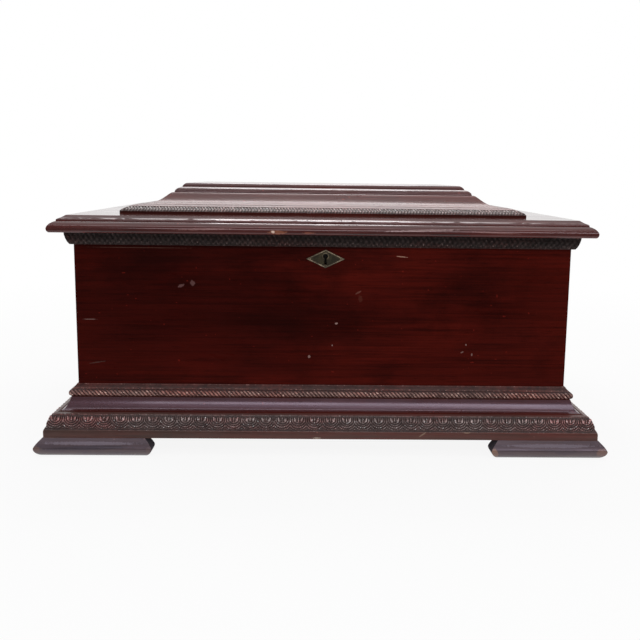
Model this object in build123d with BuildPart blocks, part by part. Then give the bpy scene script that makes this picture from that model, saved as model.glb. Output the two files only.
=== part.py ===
"""Table-top disc music box: carved mahogany case, domed lid and disc movement. Millimetres."""
import math
import os

from build123d import *

os.makedirs("parts", exist_ok=True)

# ---------------------------------------------------------------- case sizes
BODY_W = 640.0          # width over the plain panels
BODY_D = 500.0          # depth over the plain panels
FOOT_OUT = 48.0         # foot beyond the panel face
HINGE_OUT = 7.5         # hinge knuckles beyond the back
HALF_W = BODY_W / 2
Y_FRONT = FOOT_OUT - (FOOT_OUT + BODY_D + HINGE_OUT) / 2
Y_BACK = Y_FRONT + BODY_D
FOOT_H = 22.0
BODY_TOP = 283.0        # top edge of the panels
WALL = 18.0             # panel thickness
SEAM = 0.3              # gap between body and lid
CLEAR = 0.3             # gap round turning shafts
LID_UNDER = BODY_TOP + SEAM
BOARD_Z = 30.0
BOARD_T = 12.0
FOOT_LEN = 150.0
FOOT_ARM = 26.0         # width of the two arms of a front foot
REAR_FOOT_LEN = 110.0
MITRE = 60.0            # reach of the mitre planes
IN_X = HALF_W - WALL
IN_FRONT = Y_FRONT + WALL
IN_BACK = Y_BACK - WALL
LOCK_X = 2.0            # keyhole centre
KEY_DROP = 30.0         # keyhole below the top of the panels
KEY_Z = BODY_TOP - KEY_DROP
PLINTH_H = 46.5
ROPE_H = 16.5
NECK_H = 16.0

# ---------------------------------------------------------------- lid sizes
SLAB_H = 21.2
STAGE_H = 12.5
COVE_H = 15.0
TOP_H = 13.0
SLAB_TOP = LID_UNDER + SLAB_H
STAGE_TOP = SLAB_TOP + STAGE_H
COVE_TOP = STAGE_TOP + COVE_H
LID_TOP = COVE_TOP + TOP_H
WELL_IN = 100.0         # hollow of the lid, in from the panel face
HINGE_X = 200.0
LEAF_L = 70.0
LEAF_D = 15.0
LEAF_T = 2.0
KNUCKLE_R = 3.5
KNUCKLES = 5
PIN_R = 1.5
HINGE_Y = Y_BACK + HINGE_OUT - KNUCKLE_R
HINGE_Z = BODY_TOP + SEAM / 2

# ---------------------------------------------------------------- movement sizes
DISC_R = 220.0
DISC_T = 1.0
DISC_LEFT = 42.0        # rim to the left wall
DISC_X = -IN_X + DISC_LEFT + DISC_R
DISC_Y = (IN_FRONT + IN_BACK) / 2
PLATE_DROP = 93.0       # bedplate below the top of the panels
PLATE_TOP = BODY_TOP - PLATE_DROP
PLATE_T = 8.0
PLATE_LOW = PLATE_TOP - PLATE_T
PLATE_GAP_X = 4.0
DISC_Z = PLATE_TOP + 32.0   # underside of the disc
MOTOR_DEEP = 86.0
MOTOR_Z = PLATE_LOW - MOTOR_DEEP
MOTOR_T = 5.0
MOTOR_TOP = MOTOR_Z + MOTOR_T
SHOULDER = 0.5          # end play of each arbor
PIVOT_R = 1.5
TRACKS = 48
TRACK_IN = 50.0
RIM = 10.2              # plain rim outside the last track
TRACK_PITCH = (DISC_R - TRACK_IN - RIM) / (TRACKS - 1)
STAR_R = 7.0
STAR_GAP = 0.6
STAR_Z = DISC_Z - STAR_R - STAR_GAP
STAR_SHAFT_R = 1.5
COMB_T = 3.0
COMB_Z = STAR_Z - COMB_T
COMB_TIP = STAR_R + STAR_GAP

# ---------------------------------------------------------------- wheel train
GREAT_T, GREAT_M = 84, 2.0
PINION_T = 12
HUB_T, HUB_M = 96, 1.75
INTER_T = 60
SECOND_T, SECOND_M = 60, 1.25
THIRD_T, THIRD_M = 60, 1.0
SMALL_T = 10
ADDENDUM = 0.8
DEDENDUM = 1.1
ROOT_PART = 0.27        # half tooth at the root, as a part of the pitch
TIP_PART = 0.09


def centre_distance(teeth_a, teeth_b, module):
    return module * (teeth_a + teeth_b) / 2


def polar(origin, distance, degrees):
    turn = math.radians(degrees)
    return (origin[0] + distance * math.cos(turn), origin[1] + distance * math.sin(turn))


def bearing(start, end):
    return math.degrees(math.atan2(end[1] - start[1], end[0] - start[0]))


HUB_AT = (DISC_X, DISC_Y)
BARREL_OUT = 12.0       # winding arbor beyond the disc rim
BARREL_DIST = DISC_R + BARREL_OUT
BARREL_DIR = -35.0
BARREL_AT = polar(HUB_AT, BARREL_DIST, BARREL_DIR)
HUB_TO_INTER = centre_distance(INTER_T, HUB_T, HUB_M)
BARREL_TO_INTER = centre_distance(GREAT_T, PINION_T, GREAT_M)
INTER_TURN = math.degrees(math.acos(
    (BARREL_DIST**2 + HUB_TO_INTER**2 - BARREL_TO_INTER**2) / (2 * BARREL_DIST * HUB_TO_INTER)))
INTER_AT = polar(HUB_AT, HUB_TO_INTER, BARREL_DIR + INTER_TURN)
SECOND_AT = polar(HUB_AT, centre_distance(HUB_T, PINION_T, HUB_M), 100.0)
THIRD_AT = polar(SECOND_AT, centre_distance(SECOND_T, SMALL_T, SECOND_M), 20.0)
FAN_AT = polar(THIRD_AT, centre_distance(THIRD_T, SMALL_T, THIRD_M), 20.0)

GREAT_Z, GREAT_W = MOTOR_TOP + 7.0, 6.0
DRUM_R = 46.0
DRUM_WALL = 3.0
DRUM_H = 46.0
DRUM_TOP = GREAT_Z + GREAT_W + DRUM_H
COVER_T = 3.0
HUB_Z, WHEEL_W = PLATE_LOW - 14.0, 5.0
ARBOR_R = 6.0
THIN_R = 3.0
CRANK_Z = PLATE_TOP + 46.0
CRANK_T = 8.0
CRANK_LEN = 70.0
CRANK_DIR = -60.0
KNOB_AT = polar(BARREL_AT, CRANK_LEN, CRANK_DIR)
RATCHET_Z, RATCHET_T, RATCHET_R = PLATE_TOP + 2.0, 5.0, 28.0
RATCHET_TEETH = 36
CLICK_DIST = 42.0
CLICK_DIR = 20.0
CLICK_AT = polar(BARREL_AT, CLICK_DIST, CLICK_DIR)
STUD_R = 4.0
STOP_AT = (IN_X - 40.0, DISC_Y + 19.75)
BAR_PIVOT_X = DISC_X - DISC_R - 18.0
BAR_Z = DISC_Z + 11.0
BAR_T = 6.0
ROLLER_R = 3.0
ROLLER_TRACKS = {"roller_inner": DISC_R / 2, "roller_outer": DISC_R - 15.0}


# ---------------------------------------------------------------- shared shapes
def block(x, y, z, mode=Mode.ADD):
    """Box between pairs of x, y and z limits."""
    with Locations(((x[0] + x[1]) / 2, (y[0] + y[1]) / 2, (z[0] + z[1]) / 2)):
        Box(x[1] - x[0], y[1] - y[0], z[1] - z[0], mode=mode)


def post(at, radius, low, high, mode=Mode.ADD):
    """Upright cylinder between two heights."""
    with Locations((at[0], at[1], (low + high) / 2)):
        Cylinder(radius, high - low, mode=mode)


def rod_x(y, z, radius, low, high, mode=Mode.ADD):
    """Cylinder lying along X."""
    with Locations(Location(((low + high) / 2, y, z), (0, 90, 0))):
        Cylinder(radius, high - low, mode=mode)


def rod_y(x, z, radius, low, high, mode=Mode.ADD):
    """Cylinder lying along Y."""
    with Locations(Location((x, (low + high) / 2, z), (90, 0, 0))):
        Cylinder(radius, high - low, mode=mode)


def outline(runs, plane):
    """Closed face from runs of points; a run of more than two points is one smooth curve."""
    with BuildSketch(plane) as face:
        with BuildLine():
            for run in runs:
                if len(run) == 2:
                    Line(*run)
                else:
                    Spline(*run)
        make_face()
    return face.sketch


def polygon(points, plane):
    """Closed straight-sided face."""
    with BuildSketch(plane) as face:
        with BuildLine():
            Polyline(*points, close=True)
        make_face()
    return face.sketch


def gear_face(at, teeth, module, tooth_dir, height):
    """Spur gear outline with one tooth centred on tooth_dir, in degrees."""
    pitch = 2 * math.pi / teeth
    radius = module * teeth / 2
    low = radius - DEDENDUM * module
    high = radius + ADDENDUM * module
    points = []
    for tooth in range(teeth):
        middle = math.radians(tooth_dir) + tooth * pitch
        for reach, part in ((low, -ROOT_PART), (high, -TIP_PART), (high, TIP_PART), (low, ROOT_PART)):
            turn = middle + part * pitch
            points.append((at[0] + reach * math.cos(turn), at[1] + reach * math.sin(turn)))
    return polygon(points, Plane.XY.offset(height))


def gap_dir(direction, teeth):
    """Tooth direction that puts a gap on the given direction."""
    return direction + 180.0 / teeth


def finish(piece, label):
    """Label one sub-part and write it."""
    piece.part.label = label
    export_step(piece.part, f"parts/{label}.step")


# ---------------------------------------------------------------- moulding sections, (out, up)
def raised(base, runs):
    """Section whose heights are counted from a base height."""
    return [[(out, base + up) for out, up in run] for run in runs]


FOOT_RUNS = raised(0.0, [
    [(FOOT_OUT - 7.5, 0.0), (FOOT_OUT - 3.1, 0.15 * FOOT_H), (FOOT_OUT - 0.6, 0.32 * FOOT_H),
     (FOOT_OUT, 0.455 * FOOT_H), (FOOT_OUT - 1.5, 0.6 * FOOT_H), (FOOT_OUT - 5.1, 0.8 * FOOT_H),
     (FOOT_OUT - 9.5, FOOT_H)],
])
PLINTH_RUNS = raised(FOOT_H, [
    [(37.5, 0.0), (37.5, 8.0)],
    [(37.5, 8.0), (36.0, 11.5), (34.0, 14.5)],
    [(34.0, 14.5), (34.0, 16.5)],
    [(34.0, 16.5), (33.6, 18.5), (31.9, 22.3), (29.3, 26.3), (27.0, 29.0)],
    [(27.0, 29.0), (22.0, 30.0)],
    [(22.0, 30.0), (18.4, 31.0)],
    [(18.4, 31.0), (14.8, 32.8), (11.8, 37.1), (9.6, 41.3), (8.0, PLINTH_H)],
])
ROPE_RUNS = raised(FOOT_H + PLINTH_H, [
    [(7.2, 0.0), (7.2, 1.0)],
    [(7.2, 1.0), (9.8, 3.0), (10.45, 5.8), (9.8, 8.3), (7.7, 9.9)],
    [(7.7, 9.9), (6.5, 10.7)],
    [(6.5, 10.7), (3.6, 13.5), (1.5, ROPE_H)],
])
NECK_RUNS = raised(BODY_TOP - NECK_H, [
    [(1.5, 0.0), (4.4, 0.4)],
    [(4.4, 0.4), (6.8, 4.2), (8.5, 8.6), (9.6, 13.2)],
    [(9.6, 13.2), (9.8, NECK_H)],
])
SLAB_RUNS = raised(LID_UNDER, [
    [(24.5, 0.0), (26.4, 2.1), (27.0, 4.7), (25.8, 8.2), (22.2, 11.7), (18.3, 13.6)],
    [(18.3, 13.6), (16.9, 13.9)],
    [(16.9, 13.9), (16.6, 15.9), (13.0, 17.7), (10.4, 19.0), (7.0, SLAB_H)],
])
STAGE_RUNS = raised(SLAB_TOP, [
    [(-48.7, 0.0), (-48.7, 3.5)],
    [(-48.7, 3.5), (-53.3, 7.1), (-61.3, 10.5), (-70.0, STAGE_H)],
])
COVE_RUNS = raised(STAGE_TOP, [
    [(-80.0, 0.0), (-84.0, 1.3)],
    [(-84.0, 1.3), (-89.9, 2.8), (-95.0, 5.2), (-99.8, 8.4), (-105.0, 12.5)],
    [(-105.0, 12.5), (-107.5, 14.2)],
    [(-107.5, 14.2), (-109.0, COVE_H)],
])
TOP_RUNS = raised(COVE_TOP, [
    [(-112.0, 0.0), (-113.0, 3.3), (-115.8, 5.6), (-121.3, 7.9)],
    [(-121.3, 7.9), (-122.2, 9.6)],
    [(-122.2, 9.6), (-123.6, 11.0), (-127.1, TOP_H)],
])


def placed(runs, origin, sign):
    return [[(origin + sign * out, up) for out, up in run] for run in runs]


def silhouette(runs, low, high, plane, low_moulded=True, high_moulded=True):
    """Full cross-section between two body faces, moulded at one or both ends."""
    base, top = runs[0][0][1], runs[-1][-1][1]
    right = placed(runs, high, 1) if high_moulded else [[(high, base), (high, top)]]
    left = placed(runs, low, -1) if low_moulded else [[(low, base), (low, top)]]
    left = [run[::-1] for run in reversed(left)]
    over = [[right[-1][-1], left[0][0]]]
    under = [[left[-1][-1], right[0][0]]]
    return outline(right + over + left + under, plane)


def moulded_block(runs, x, y, x_moulded=(True, True), y_moulded=(True, True)):
    """Solid with mitred mouldings round it: one section along each way, kept where both agree."""
    extrude(silhouette(runs, x[0], x[1], Plane.XZ, *x_moulded), amount=BODY_D, both=True)
    extrude(silhouette(runs, y[0], y[1], Plane.YZ, *y_moulded), amount=BODY_W, both=True,
            mode=Mode.INTERSECT)


def strip_front(runs, label):
    """Straight length of moulding along the front, mitred at both ends."""
    closing = [[(Y_FRONT - runs[-1][-1][0], runs[-1][-1][1]), (Y_FRONT, runs[-1][-1][1])],
               [(Y_FRONT, runs[-1][-1][1]), (Y_FRONT, runs[0][0][1])],
               [(Y_FRONT, runs[0][0][1]), (Y_FRONT - runs[0][0][0], runs[0][0][1])]]
    wedge = [(-HALF_W, Y_FRONT), (HALF_W, Y_FRONT),
             (HALF_W + MITRE, Y_FRONT - MITRE), (-HALF_W - MITRE, Y_FRONT - MITRE)]
    with BuildPart() as strip:
        extrude(outline(placed(runs, Y_FRONT, -1) + closing, Plane.YZ), amount=BODY_W, both=True)
        extrude(polygon(wedge, Plane.XY), amount=LID_TOP, mode=Mode.INTERSECT)
    finish(strip, label)


def strip_side(runs, sign, label):
    """Straight length of moulding along one side, mitred at the front and square at the back."""
    edge = sign * HALF_W
    closing = [[(edge + sign * runs[-1][-1][0], runs[-1][-1][1]), (edge, runs[-1][-1][1])],
               [(edge, runs[-1][-1][1]), (edge, runs[0][0][1])],
               [(edge, runs[0][0][1]), (edge + sign * runs[0][0][0], runs[0][0][1])]]
    wedge = [(edge, Y_FRONT), (edge + sign * MITRE, Y_FRONT - MITRE),
             (edge + sign * MITRE, Y_BACK), (edge, Y_BACK)]
    with BuildPart() as strip:
        extrude(outline(placed(runs, edge, sign) + closing, Plane.XZ), amount=BODY_D, both=True)
        extrude(polygon(wedge, Plane.XY), amount=LID_TOP, mode=Mode.INTERSECT)
    finish(strip, label)


# ---------------------------------------------------------------- case panels
KEY_EYE_R = 3.3
KEY_SLOT_W = 3.4
KEY_SLOT_L = 11.0


def keyhole(depth):
    """Keyhole cut running back from in front of the escutcheon."""
    rod_y(LOCK_X, KEY_Z + 2.0, KEY_EYE_R, Y_FRONT - 5.0, Y_FRONT + depth, mode=Mode.SUBTRACT)
    block((LOCK_X - KEY_SLOT_W / 2, LOCK_X + KEY_SLOT_W / 2), (Y_FRONT - 5.0, Y_FRONT + depth),
          (KEY_Z + 2.0 - KEY_SLOT_L, KEY_Z + 2.0), mode=Mode.SUBTRACT)


with BuildPart() as front_panel:
    block((-HALF_W, HALF_W), (Y_FRONT, IN_FRONT), (FOOT_H, BODY_TOP))
    keyhole(WALL)
finish(front_panel, "front_panel")

with BuildPart() as back_panel:
    block((-HALF_W, HALF_W), (IN_BACK, Y_BACK), (FOOT_H, BODY_TOP))
    for x in (-HINGE_X, HINGE_X):
        block((x - LEAF_L / 2, x + LEAF_L / 2), (Y_BACK - LEAF_D, Y_BACK),
              (BODY_TOP - LEAF_T, BODY_TOP), mode=Mode.SUBTRACT)
finish(back_panel, "back_panel")

for name, sign in (("left_panel", -1), ("right_panel", 1)):
    with BuildPart() as side_panel:
        block(sorted((sign * IN_X, sign * HALF_W)), (IN_FRONT, IN_BACK), (FOOT_H, BODY_TOP))
    finish(side_panel, name)

with BuildPart() as bottom_board:
    block((-IN_X, IN_X), (IN_FRONT, IN_BACK), (BOARD_Z, BOARD_Z + BOARD_T))
finish(bottom_board, "bottom_board")

# ---------------------------------------------------------------- mouldings round the case
for kind, runs in (("plinth", PLINTH_RUNS), ("rope", ROPE_RUNS), ("neck", NECK_RUNS)):
    strip_front(runs, kind + "_front")
    strip_side(runs, -1, kind + "_left")
    strip_side(runs, 1, kind + "_right")

# ---------------------------------------------------------------- feet
INNER_FACE = HALF_W + 2 * FOOT_OUT - FOOT_LEN
for name, sign in (("left", -1), ("right", 1)):
    foot_x = sorted((sign * INNER_FACE, sign * HALF_W))
    with BuildPart() as front_foot:
        moulded_block(FOOT_RUNS, foot_x, (Y_FRONT, Y_FRONT - 2 * FOOT_OUT + FOOT_LEN))
        block(sorted((0.0, sign * (HALF_W + FOOT_OUT - FOOT_ARM))),
              (Y_FRONT - FOOT_OUT + FOOT_ARM, Y_FRONT + FOOT_LEN), (0.0, FOOT_H), mode=Mode.SUBTRACT)
    finish(front_foot, "foot_front_" + name)
    with BuildPart() as rear_foot:
        moulded_block(FOOT_RUNS, foot_x, (Y_BACK - REAR_FOOT_LEN + FOOT_OUT, Y_BACK),
                      y_moulded=(True, False))
    finish(rear_foot, "foot_rear_" + name)

# ---------------------------------------------------------------- escutcheon and box lock
ESC_W, ESC_H, ESC_T = 51.0, 24.3, 1.2
ESC_Z = KEY_Z - 1.5
with BuildPart() as escutcheon:
    diamond = [(LOCK_X - ESC_W / 2, ESC_Z), (LOCK_X, ESC_Z - ESC_H / 2),
               (LOCK_X + ESC_W / 2, ESC_Z), (LOCK_X, ESC_Z + ESC_H / 2)]
    extrude(polygon(diamond, Plane.XZ.offset(-Y_FRONT)), amount=ESC_T)
    keyhole(WALL)
finish(escutcheon, "escutcheon")

LOCK_HALF = 30.0
LOCK_LOW = BODY_TOP - 43.0
LOCK_DEEP = 12.0
LOCK_SKIN = 1.2
BOLT_Z = (BODY_TOP - 12.5, BODY_TOP - 7.5)
BOLT_TRAVEL = 5.0
LUG_X = 18.0            # staple centres either side of the keyhole
LUG_W, LUG_T, LUG_DROP = 8.0, 3.0, 16.0
LOCK_MID = IN_FRONT + LOCK_DEEP / 2
with BuildPart() as lock_case:
    block((LOCK_X - LOCK_HALF, LOCK_X + LOCK_HALF), (IN_FRONT, IN_FRONT + LOCK_DEEP),
          (LOCK_LOW, BODY_TOP))
    block((LOCK_X - LOCK_HALF + LOCK_SKIN, LOCK_X + LOCK_HALF - LOCK_SKIN),
          (IN_FRONT + LOCK_SKIN, IN_FRONT + LOCK_DEEP - LOCK_SKIN),
          (LOCK_LOW + LOCK_SKIN, BODY_TOP - LOCK_SKIN), mode=Mode.SUBTRACT)
    for x in (LOCK_X - LUG_X, LOCK_X + LUG_X):
        block((x - LUG_W / 2 - 1.5, x + LUG_W / 2 + 1.5),
              (LOCK_MID - LUG_T / 2 - 1.5, LOCK_MID + LUG_T / 2 + 1.5),
              (BODY_TOP - LOCK_SKIN, BODY_TOP), mode=Mode.SUBTRACT)
    keyhole(WALL + LOCK_SKIN)
finish(lock_case, "lock_case")

BOLT_T = 2.0
with BuildPart() as lock_bolt:
    back = IN_FRONT + LOCK_SKIN + CLEAR
    block((LOCK_X - LOCK_HALF + LOCK_SKIN + CLEAR, LOCK_X + LOCK_HALF - LOCK_SKIN - CLEAR - BOLT_TRAVEL - 1.0),
          (back, back + LOCK_SKIN), (BOLT_Z[0] - 6.5, BOLT_Z[1] + 0.5))
    for x in (LOCK_X - LUG_X, LOCK_X + LUG_X):
        block((x - 9.5, x - 6.5), (back, LOCK_MID + BOLT_T / 2), BOLT_Z)
        block((x - 9.5, x - 5.2), (LOCK_MID - BOLT_T / 2, LOCK_MID + BOLT_T / 2),
              (BOLT_Z[0] + 1.0, BOLT_Z[1] - 1.0))
finish(lock_bolt, "lock_bolt")

with BuildPart() as lock_link_plate:
    block((LOCK_X - LOCK_HALF, LOCK_X + LOCK_HALF), (IN_FRONT, IN_FRONT + LOCK_DEEP),
          (LID_UNDER, LID_UNDER + LEAF_T))
    for x in (LOCK_X - LUG_X, LOCK_X + LUG_X):
        block((x - LUG_W / 2, x + LUG_W / 2), (LOCK_MID - LUG_T / 2, LOCK_MID + LUG_T / 2),
              (LID_UNDER - LUG_DROP, LID_UNDER))
        block((x - 2.5, x + 2.5), (LOCK_MID - LUG_T / 2, LOCK_MID + LUG_T / 2),
              (BOLT_Z[0] - 0.5, BOLT_Z[1] + 0.5), mode=Mode.SUBTRACT)
        block((x - LUG_W / 2, x), (LOCK_MID - LUG_T / 2, LOCK_MID + LUG_T / 2),
              (BOLT_Z[0] - 0.5, BOLT_Z[1] + 0.5), mode=Mode.SUBTRACT)
finish(lock_link_plate, "lock_link_plate")

# ---------------------------------------------------------------- lid
WELL_X = (-HALF_W + WELL_IN, HALF_W - WELL_IN)
WELL_Y = (Y_FRONT + WELL_IN, Y_BACK - WELL_IN)
FACE_X = (-HALF_W, HALF_W)
FACE_Y = (Y_FRONT, Y_BACK)
with BuildPart() as lid_frame:
    moulded_block(SLAB_RUNS, FACE_X, FACE_Y, y_moulded=(True, False))
    block(WELL_X, WELL_Y, (LID_UNDER, SLAB_TOP), mode=Mode.SUBTRACT)
    for x in (-HINGE_X, HINGE_X):
        block((x - LEAF_L / 2, x + LEAF_L / 2), (Y_BACK - LEAF_D, Y_BACK),
              (LID_UNDER, LID_UNDER + LEAF_T), mode=Mode.SUBTRACT)
    block((LOCK_X - LOCK_HALF, LOCK_X + LOCK_HALF), (IN_FRONT, IN_FRONT + LOCK_DEEP),
          (LID_UNDER, LID_UNDER + LEAF_T), mode=Mode.SUBTRACT)
finish(lid_frame, "lid_frame")

with BuildPart() as lid_stage:
    moulded_block(STAGE_RUNS, FACE_X, FACE_Y)
    block(WELL_X, WELL_Y, (SLAB_TOP, STAGE_TOP), mode=Mode.SUBTRACT)
finish(lid_stage, "lid_stage")

COVE_WALL = 22.0
with BuildPart() as lid_cove:
    moulded_block(COVE_RUNS, FACE_X, FACE_Y)
    block((WELL_X[0] + COVE_WALL, WELL_X[1] - COVE_WALL), (WELL_Y[0] + COVE_WALL, WELL_Y[1] - COVE_WALL),
          (STAGE_TOP, COVE_TOP), mode=Mode.SUBTRACT)
finish(lid_cove, "lid_cove")

with BuildPart() as lid_top:
    moulded_block(TOP_RUNS, FACE_X, FACE_Y)
finish(lid_top, "lid_top")

# ---------------------------------------------------------------- hinges
KNUCKLE_L = LEAF_L / KNUCKLES
KNUCKLE_GAP = 0.3


def leaves(first, plate_z, tab_z, bored):
    """Both leaves on one side of the seam with every second knuckle."""
    for x in (-HINGE_X, HINGE_X):
        block((x - LEAF_L / 2, x + LEAF_L / 2), (Y_BACK - LEAF_D, Y_BACK - 0.2), plate_z)
        for number in range(first, KNUCKLES, 2):
            low = x - LEAF_L / 2 + number * KNUCKLE_L + KNUCKLE_GAP / 2
            high = low + KNUCKLE_L - KNUCKLE_GAP
            block((low, high), (Y_BACK - 0.2, HINGE_Y), tab_z)
            rod_x(HINGE_Y, HINGE_Z, KNUCKLE_R, low, high)
        if bored:
            rod_x(HINGE_Y, HINGE_Z, PIN_R + CLEAR, x - LEAF_L, x + LEAF_L, mode=Mode.SUBTRACT)
        else:
            rod_x(HINGE_Y, HINGE_Z, PIN_R, x - LEAF_L / 2 - 1.0, x + LEAF_L / 2 + 1.0)


with BuildPart() as hinge_case_leaves:
    leaves(0, (BODY_TOP - LEAF_T, BODY_TOP), (BODY_TOP - LEAF_T, BODY_TOP), False)
finish(hinge_case_leaves, "hinge_case_leaves")

with BuildPart() as hinge_lid_leaves:
    leaves(1, (LID_UNDER, LID_UNDER + LEAF_T), (LID_UNDER, LID_UNDER + LEAF_T), True)
finish(hinge_lid_leaves, "hinge_lid_leaves")

# ---------------------------------------------------------------- bedplate
BEARER_W = 24.0
BEARER_H = 32.0
with BuildPart() as bedplate_bearers:
    for sign in (-1, 1):
        block(sorted((sign * (IN_X - BEARER_W), sign * IN_X)), (IN_FRONT, IN_BACK),
              (PLATE_LOW - BEARER_H, PLATE_LOW))
finish(bedplate_bearers, "bedplate_bearers")

PLATE_X = IN_X - PLATE_GAP_X
PLATE_Y = (IN_FRONT + 5.0, IN_BACK - 5.0)
STAR_LEFT = DISC_X - TRACK_IN - TRACK_PITCH * (TRACKS - 1) - 8.0
STAR_RIGHT = DISC_X - TRACK_IN + 8.0
REST_IN, REST_OUT = 60.0, 88.0
WINDOWS = ((IN_X - 112.0, DISC_Y + 54.75, 36.0), (IN_X - 182.0, IN_BACK - 57.25, 34.0),
           (-IN_X + 72.0, IN_BACK - 62.25, 30.0), (-IN_X + 67.0, IN_FRONT + 56.75, 30.0))
with BuildPart() as bedplate:
    block((-PLATE_X, PLATE_X), PLATE_Y, (PLATE_LOW, PLATE_TOP))
    fillet(bedplate.edges().filter_by(Axis.Z), 12.0)
    for side in (-1, 1):
        rest_y = sorted((DISC_Y + side * REST_IN, DISC_Y + side * REST_OUT))
        block((STAR_LEFT, STAR_RIGHT), rest_y, (PLATE_TOP, COMB_Z))
    post(STOP_AT, STUD_R, PLATE_TOP, PLATE_TOP + 9.0)
    post(CLICK_AT, THIN_R, PLATE_TOP, PLATE_TOP + 10.0)
    for at, radius in ((HUB_AT, ARBOR_R), (BARREL_AT, ARBOR_R), (INTER_AT, PIVOT_R), (SECOND_AT, PIVOT_R),
                       (THIRD_AT, PIVOT_R), (FAN_AT, PIVOT_R)):
        post(at, radius + CLEAR, PLATE_LOW, PLATE_TOP, mode=Mode.SUBTRACT)
    for x, y, radius in WINDOWS:
        post((x, y), radius, PLATE_LOW, PLATE_TOP, mode=Mode.SUBTRACT)
finish(bedplate, "bedplate")

with BuildPart() as bedplate_screws:
    for x in (-1, 1):
        for y in (PLATE_Y[0] + 26.0, DISC_Y - 78.0, PLATE_Y[1] - 26.0):
            at = (x * (PLATE_X - 12.0), y)
            post(at, 6.0, PLATE_TOP, PLATE_TOP + 3.0)
            block((at[0] - 6.0, at[0] + 6.0), (at[1] - 0.7, at[1] + 0.7),
                  (PLATE_TOP + 1.8, PLATE_TOP + 3.0), mode=Mode.SUBTRACT)
finish(bedplate_screws, "bedplate_screws")


# ---------------------------------------------------------------- combs, star wheels and dampers
def track_x(number):
    return DISC_X - TRACK_IN - TRACK_PITCH * number


TOOTH_W = 2.2
SLANT = 26.0            # how much shorter the treble teeth are
comb_screw_at = []
for name, side in (("comb_front", -1), ("comb_rear", 1)):
    with BuildPart() as comb:
        root = [(STAR_LEFT, DISC_Y + side * REST_OUT), (STAR_RIGHT, DISC_Y + side * REST_OUT),
                (STAR_RIGHT, DISC_Y + side * (REST_IN - SLANT)), (STAR_LEFT, DISC_Y + side * REST_IN)]
        extrude(polygon(root, Plane.XY.offset(COMB_Z)), amount=COMB_T, dir=(0, 0, 1))
        for number in range(TRACKS):
            x = track_x(number)
            block((x - TOOTH_W / 2, x + TOOTH_W / 2),
                  sorted((DISC_Y + side * COMB_TIP, DISC_Y + side * (REST_IN + 2.0))),
                  (COMB_Z, COMB_Z + COMB_T))
    finish(comb, name)
    for part in (0.08, 0.5, 0.92):
        comb_screw_at.append((STAR_LEFT + part * (STAR_RIGHT - STAR_LEFT), DISC_Y + side * 76.0))

with BuildPart() as comb_screws:
    for at in comb_screw_at:
        post(at, 4.0, COMB_Z + COMB_T, COMB_Z + COMB_T + 3.0)
        block((at[0] - 4.0, at[0] + 4.0), (at[1] - 0.5, at[1] + 0.5),
              (COMB_Z + COMB_T + 2.0, COMB_Z + COMB_T + 3.0), mode=Mode.SUBTRACT)
finish(comb_screws, "comb_screws")

GANTRY_TOP = PLATE_TOP + 6.0
BRACKET_T = 4.0
with BuildPart() as star_gantry:
    block((STAR_LEFT, STAR_RIGHT), (DISC_Y - 18.0, DISC_Y + 18.0), (PLATE_TOP, GANTRY_TOP))
    for x in (STAR_LEFT, STAR_RIGHT - BRACKET_T):
        block((x, x + BRACKET_T), (DISC_Y - 7.0, DISC_Y + 7.0), (GANTRY_TOP, STAR_Z + 4.0))
    rod_x(DISC_Y, STAR_Z, STAR_SHAFT_R + CLEAR, STAR_LEFT - 1.0, STAR_RIGHT + 1.0, mode=Mode.SUBTRACT)
finish(star_gantry, "star_gantry")

STAR_POINTS = 8
STAR_T = 1.2
with BuildPart() as star_wheels:
    star = []
    for step in range(2 * STAR_POINTS):
        reach = STAR_R if step % 2 == 0 else STAR_R - 2.8
        turn = math.pi * step / STAR_POINTS
        star.append((DISC_Y + reach * math.cos(turn), STAR_Z + reach * math.sin(turn)))
    for number in range(TRACKS):
        extrude(polygon(star, Plane.YZ.offset(track_x(number) - STAR_T / 2)), amount=STAR_T)
    rod_x(DISC_Y, STAR_Z, STAR_SHAFT_R, STAR_LEFT, STAR_RIGHT)
finish(star_wheels, "star_wheels")

with BuildPart() as dampers:
    for side in (-1, 1):
        rail_y = sorted((DISC_Y + side * 13.0, DISC_Y + side * 17.0))
        block((STAR_LEFT, STAR_RIGHT), rail_y, (GANTRY_TOP, GANTRY_TOP + 7.0))
        for number in range(TRACKS):
            x = track_x(number)
            block((x - 0.6, x + 0.6), sorted((DISC_Y + side * 13.0, DISC_Y + side * 13.6)),
                  (GANTRY_TOP + 7.0, COMB_Z - 1.0))
finish(dampers, "dampers")

# ---------------------------------------------------------------- tune disc and its drive
DRIVE_PINS = 6
DRIVE_R = 20.0
DRIVE_PIN_R = 2.0
SPINDLE_R = 4.0
SLOTS_PER_TRACK = 5
SLOT_L = 5.0
SLOT_W = 1.5
GOLDEN = 137.508
with BuildPart() as disc:
    with BuildSketch(Plane.XY.offset(DISC_Z)):
        with Locations(HUB_AT):
            Circle(DISC_R)
            Circle(SPINDLE_R + CLEAR, mode=Mode.SUBTRACT)
            with PolarLocations(DRIVE_R, DRIVE_PINS):
                Circle(DRIVE_PIN_R + CLEAR, mode=Mode.SUBTRACT)
        slot_at = []
        for number in range(TRACKS):
            for play in range(SLOTS_PER_TRACK):
                turn = GOLDEN * (number * SLOTS_PER_TRACK + play)
                x, y = polar(HUB_AT, TRACK_IN + TRACK_PITCH * number, turn)
                slot_at.append(Location((x, y), turn + 90.0))
        with Locations(*slot_at):
            Rectangle(SLOT_L, SLOT_W, mode=Mode.SUBTRACT)
    extrude(amount=DISC_T)
finish(disc, "disc")

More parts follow.
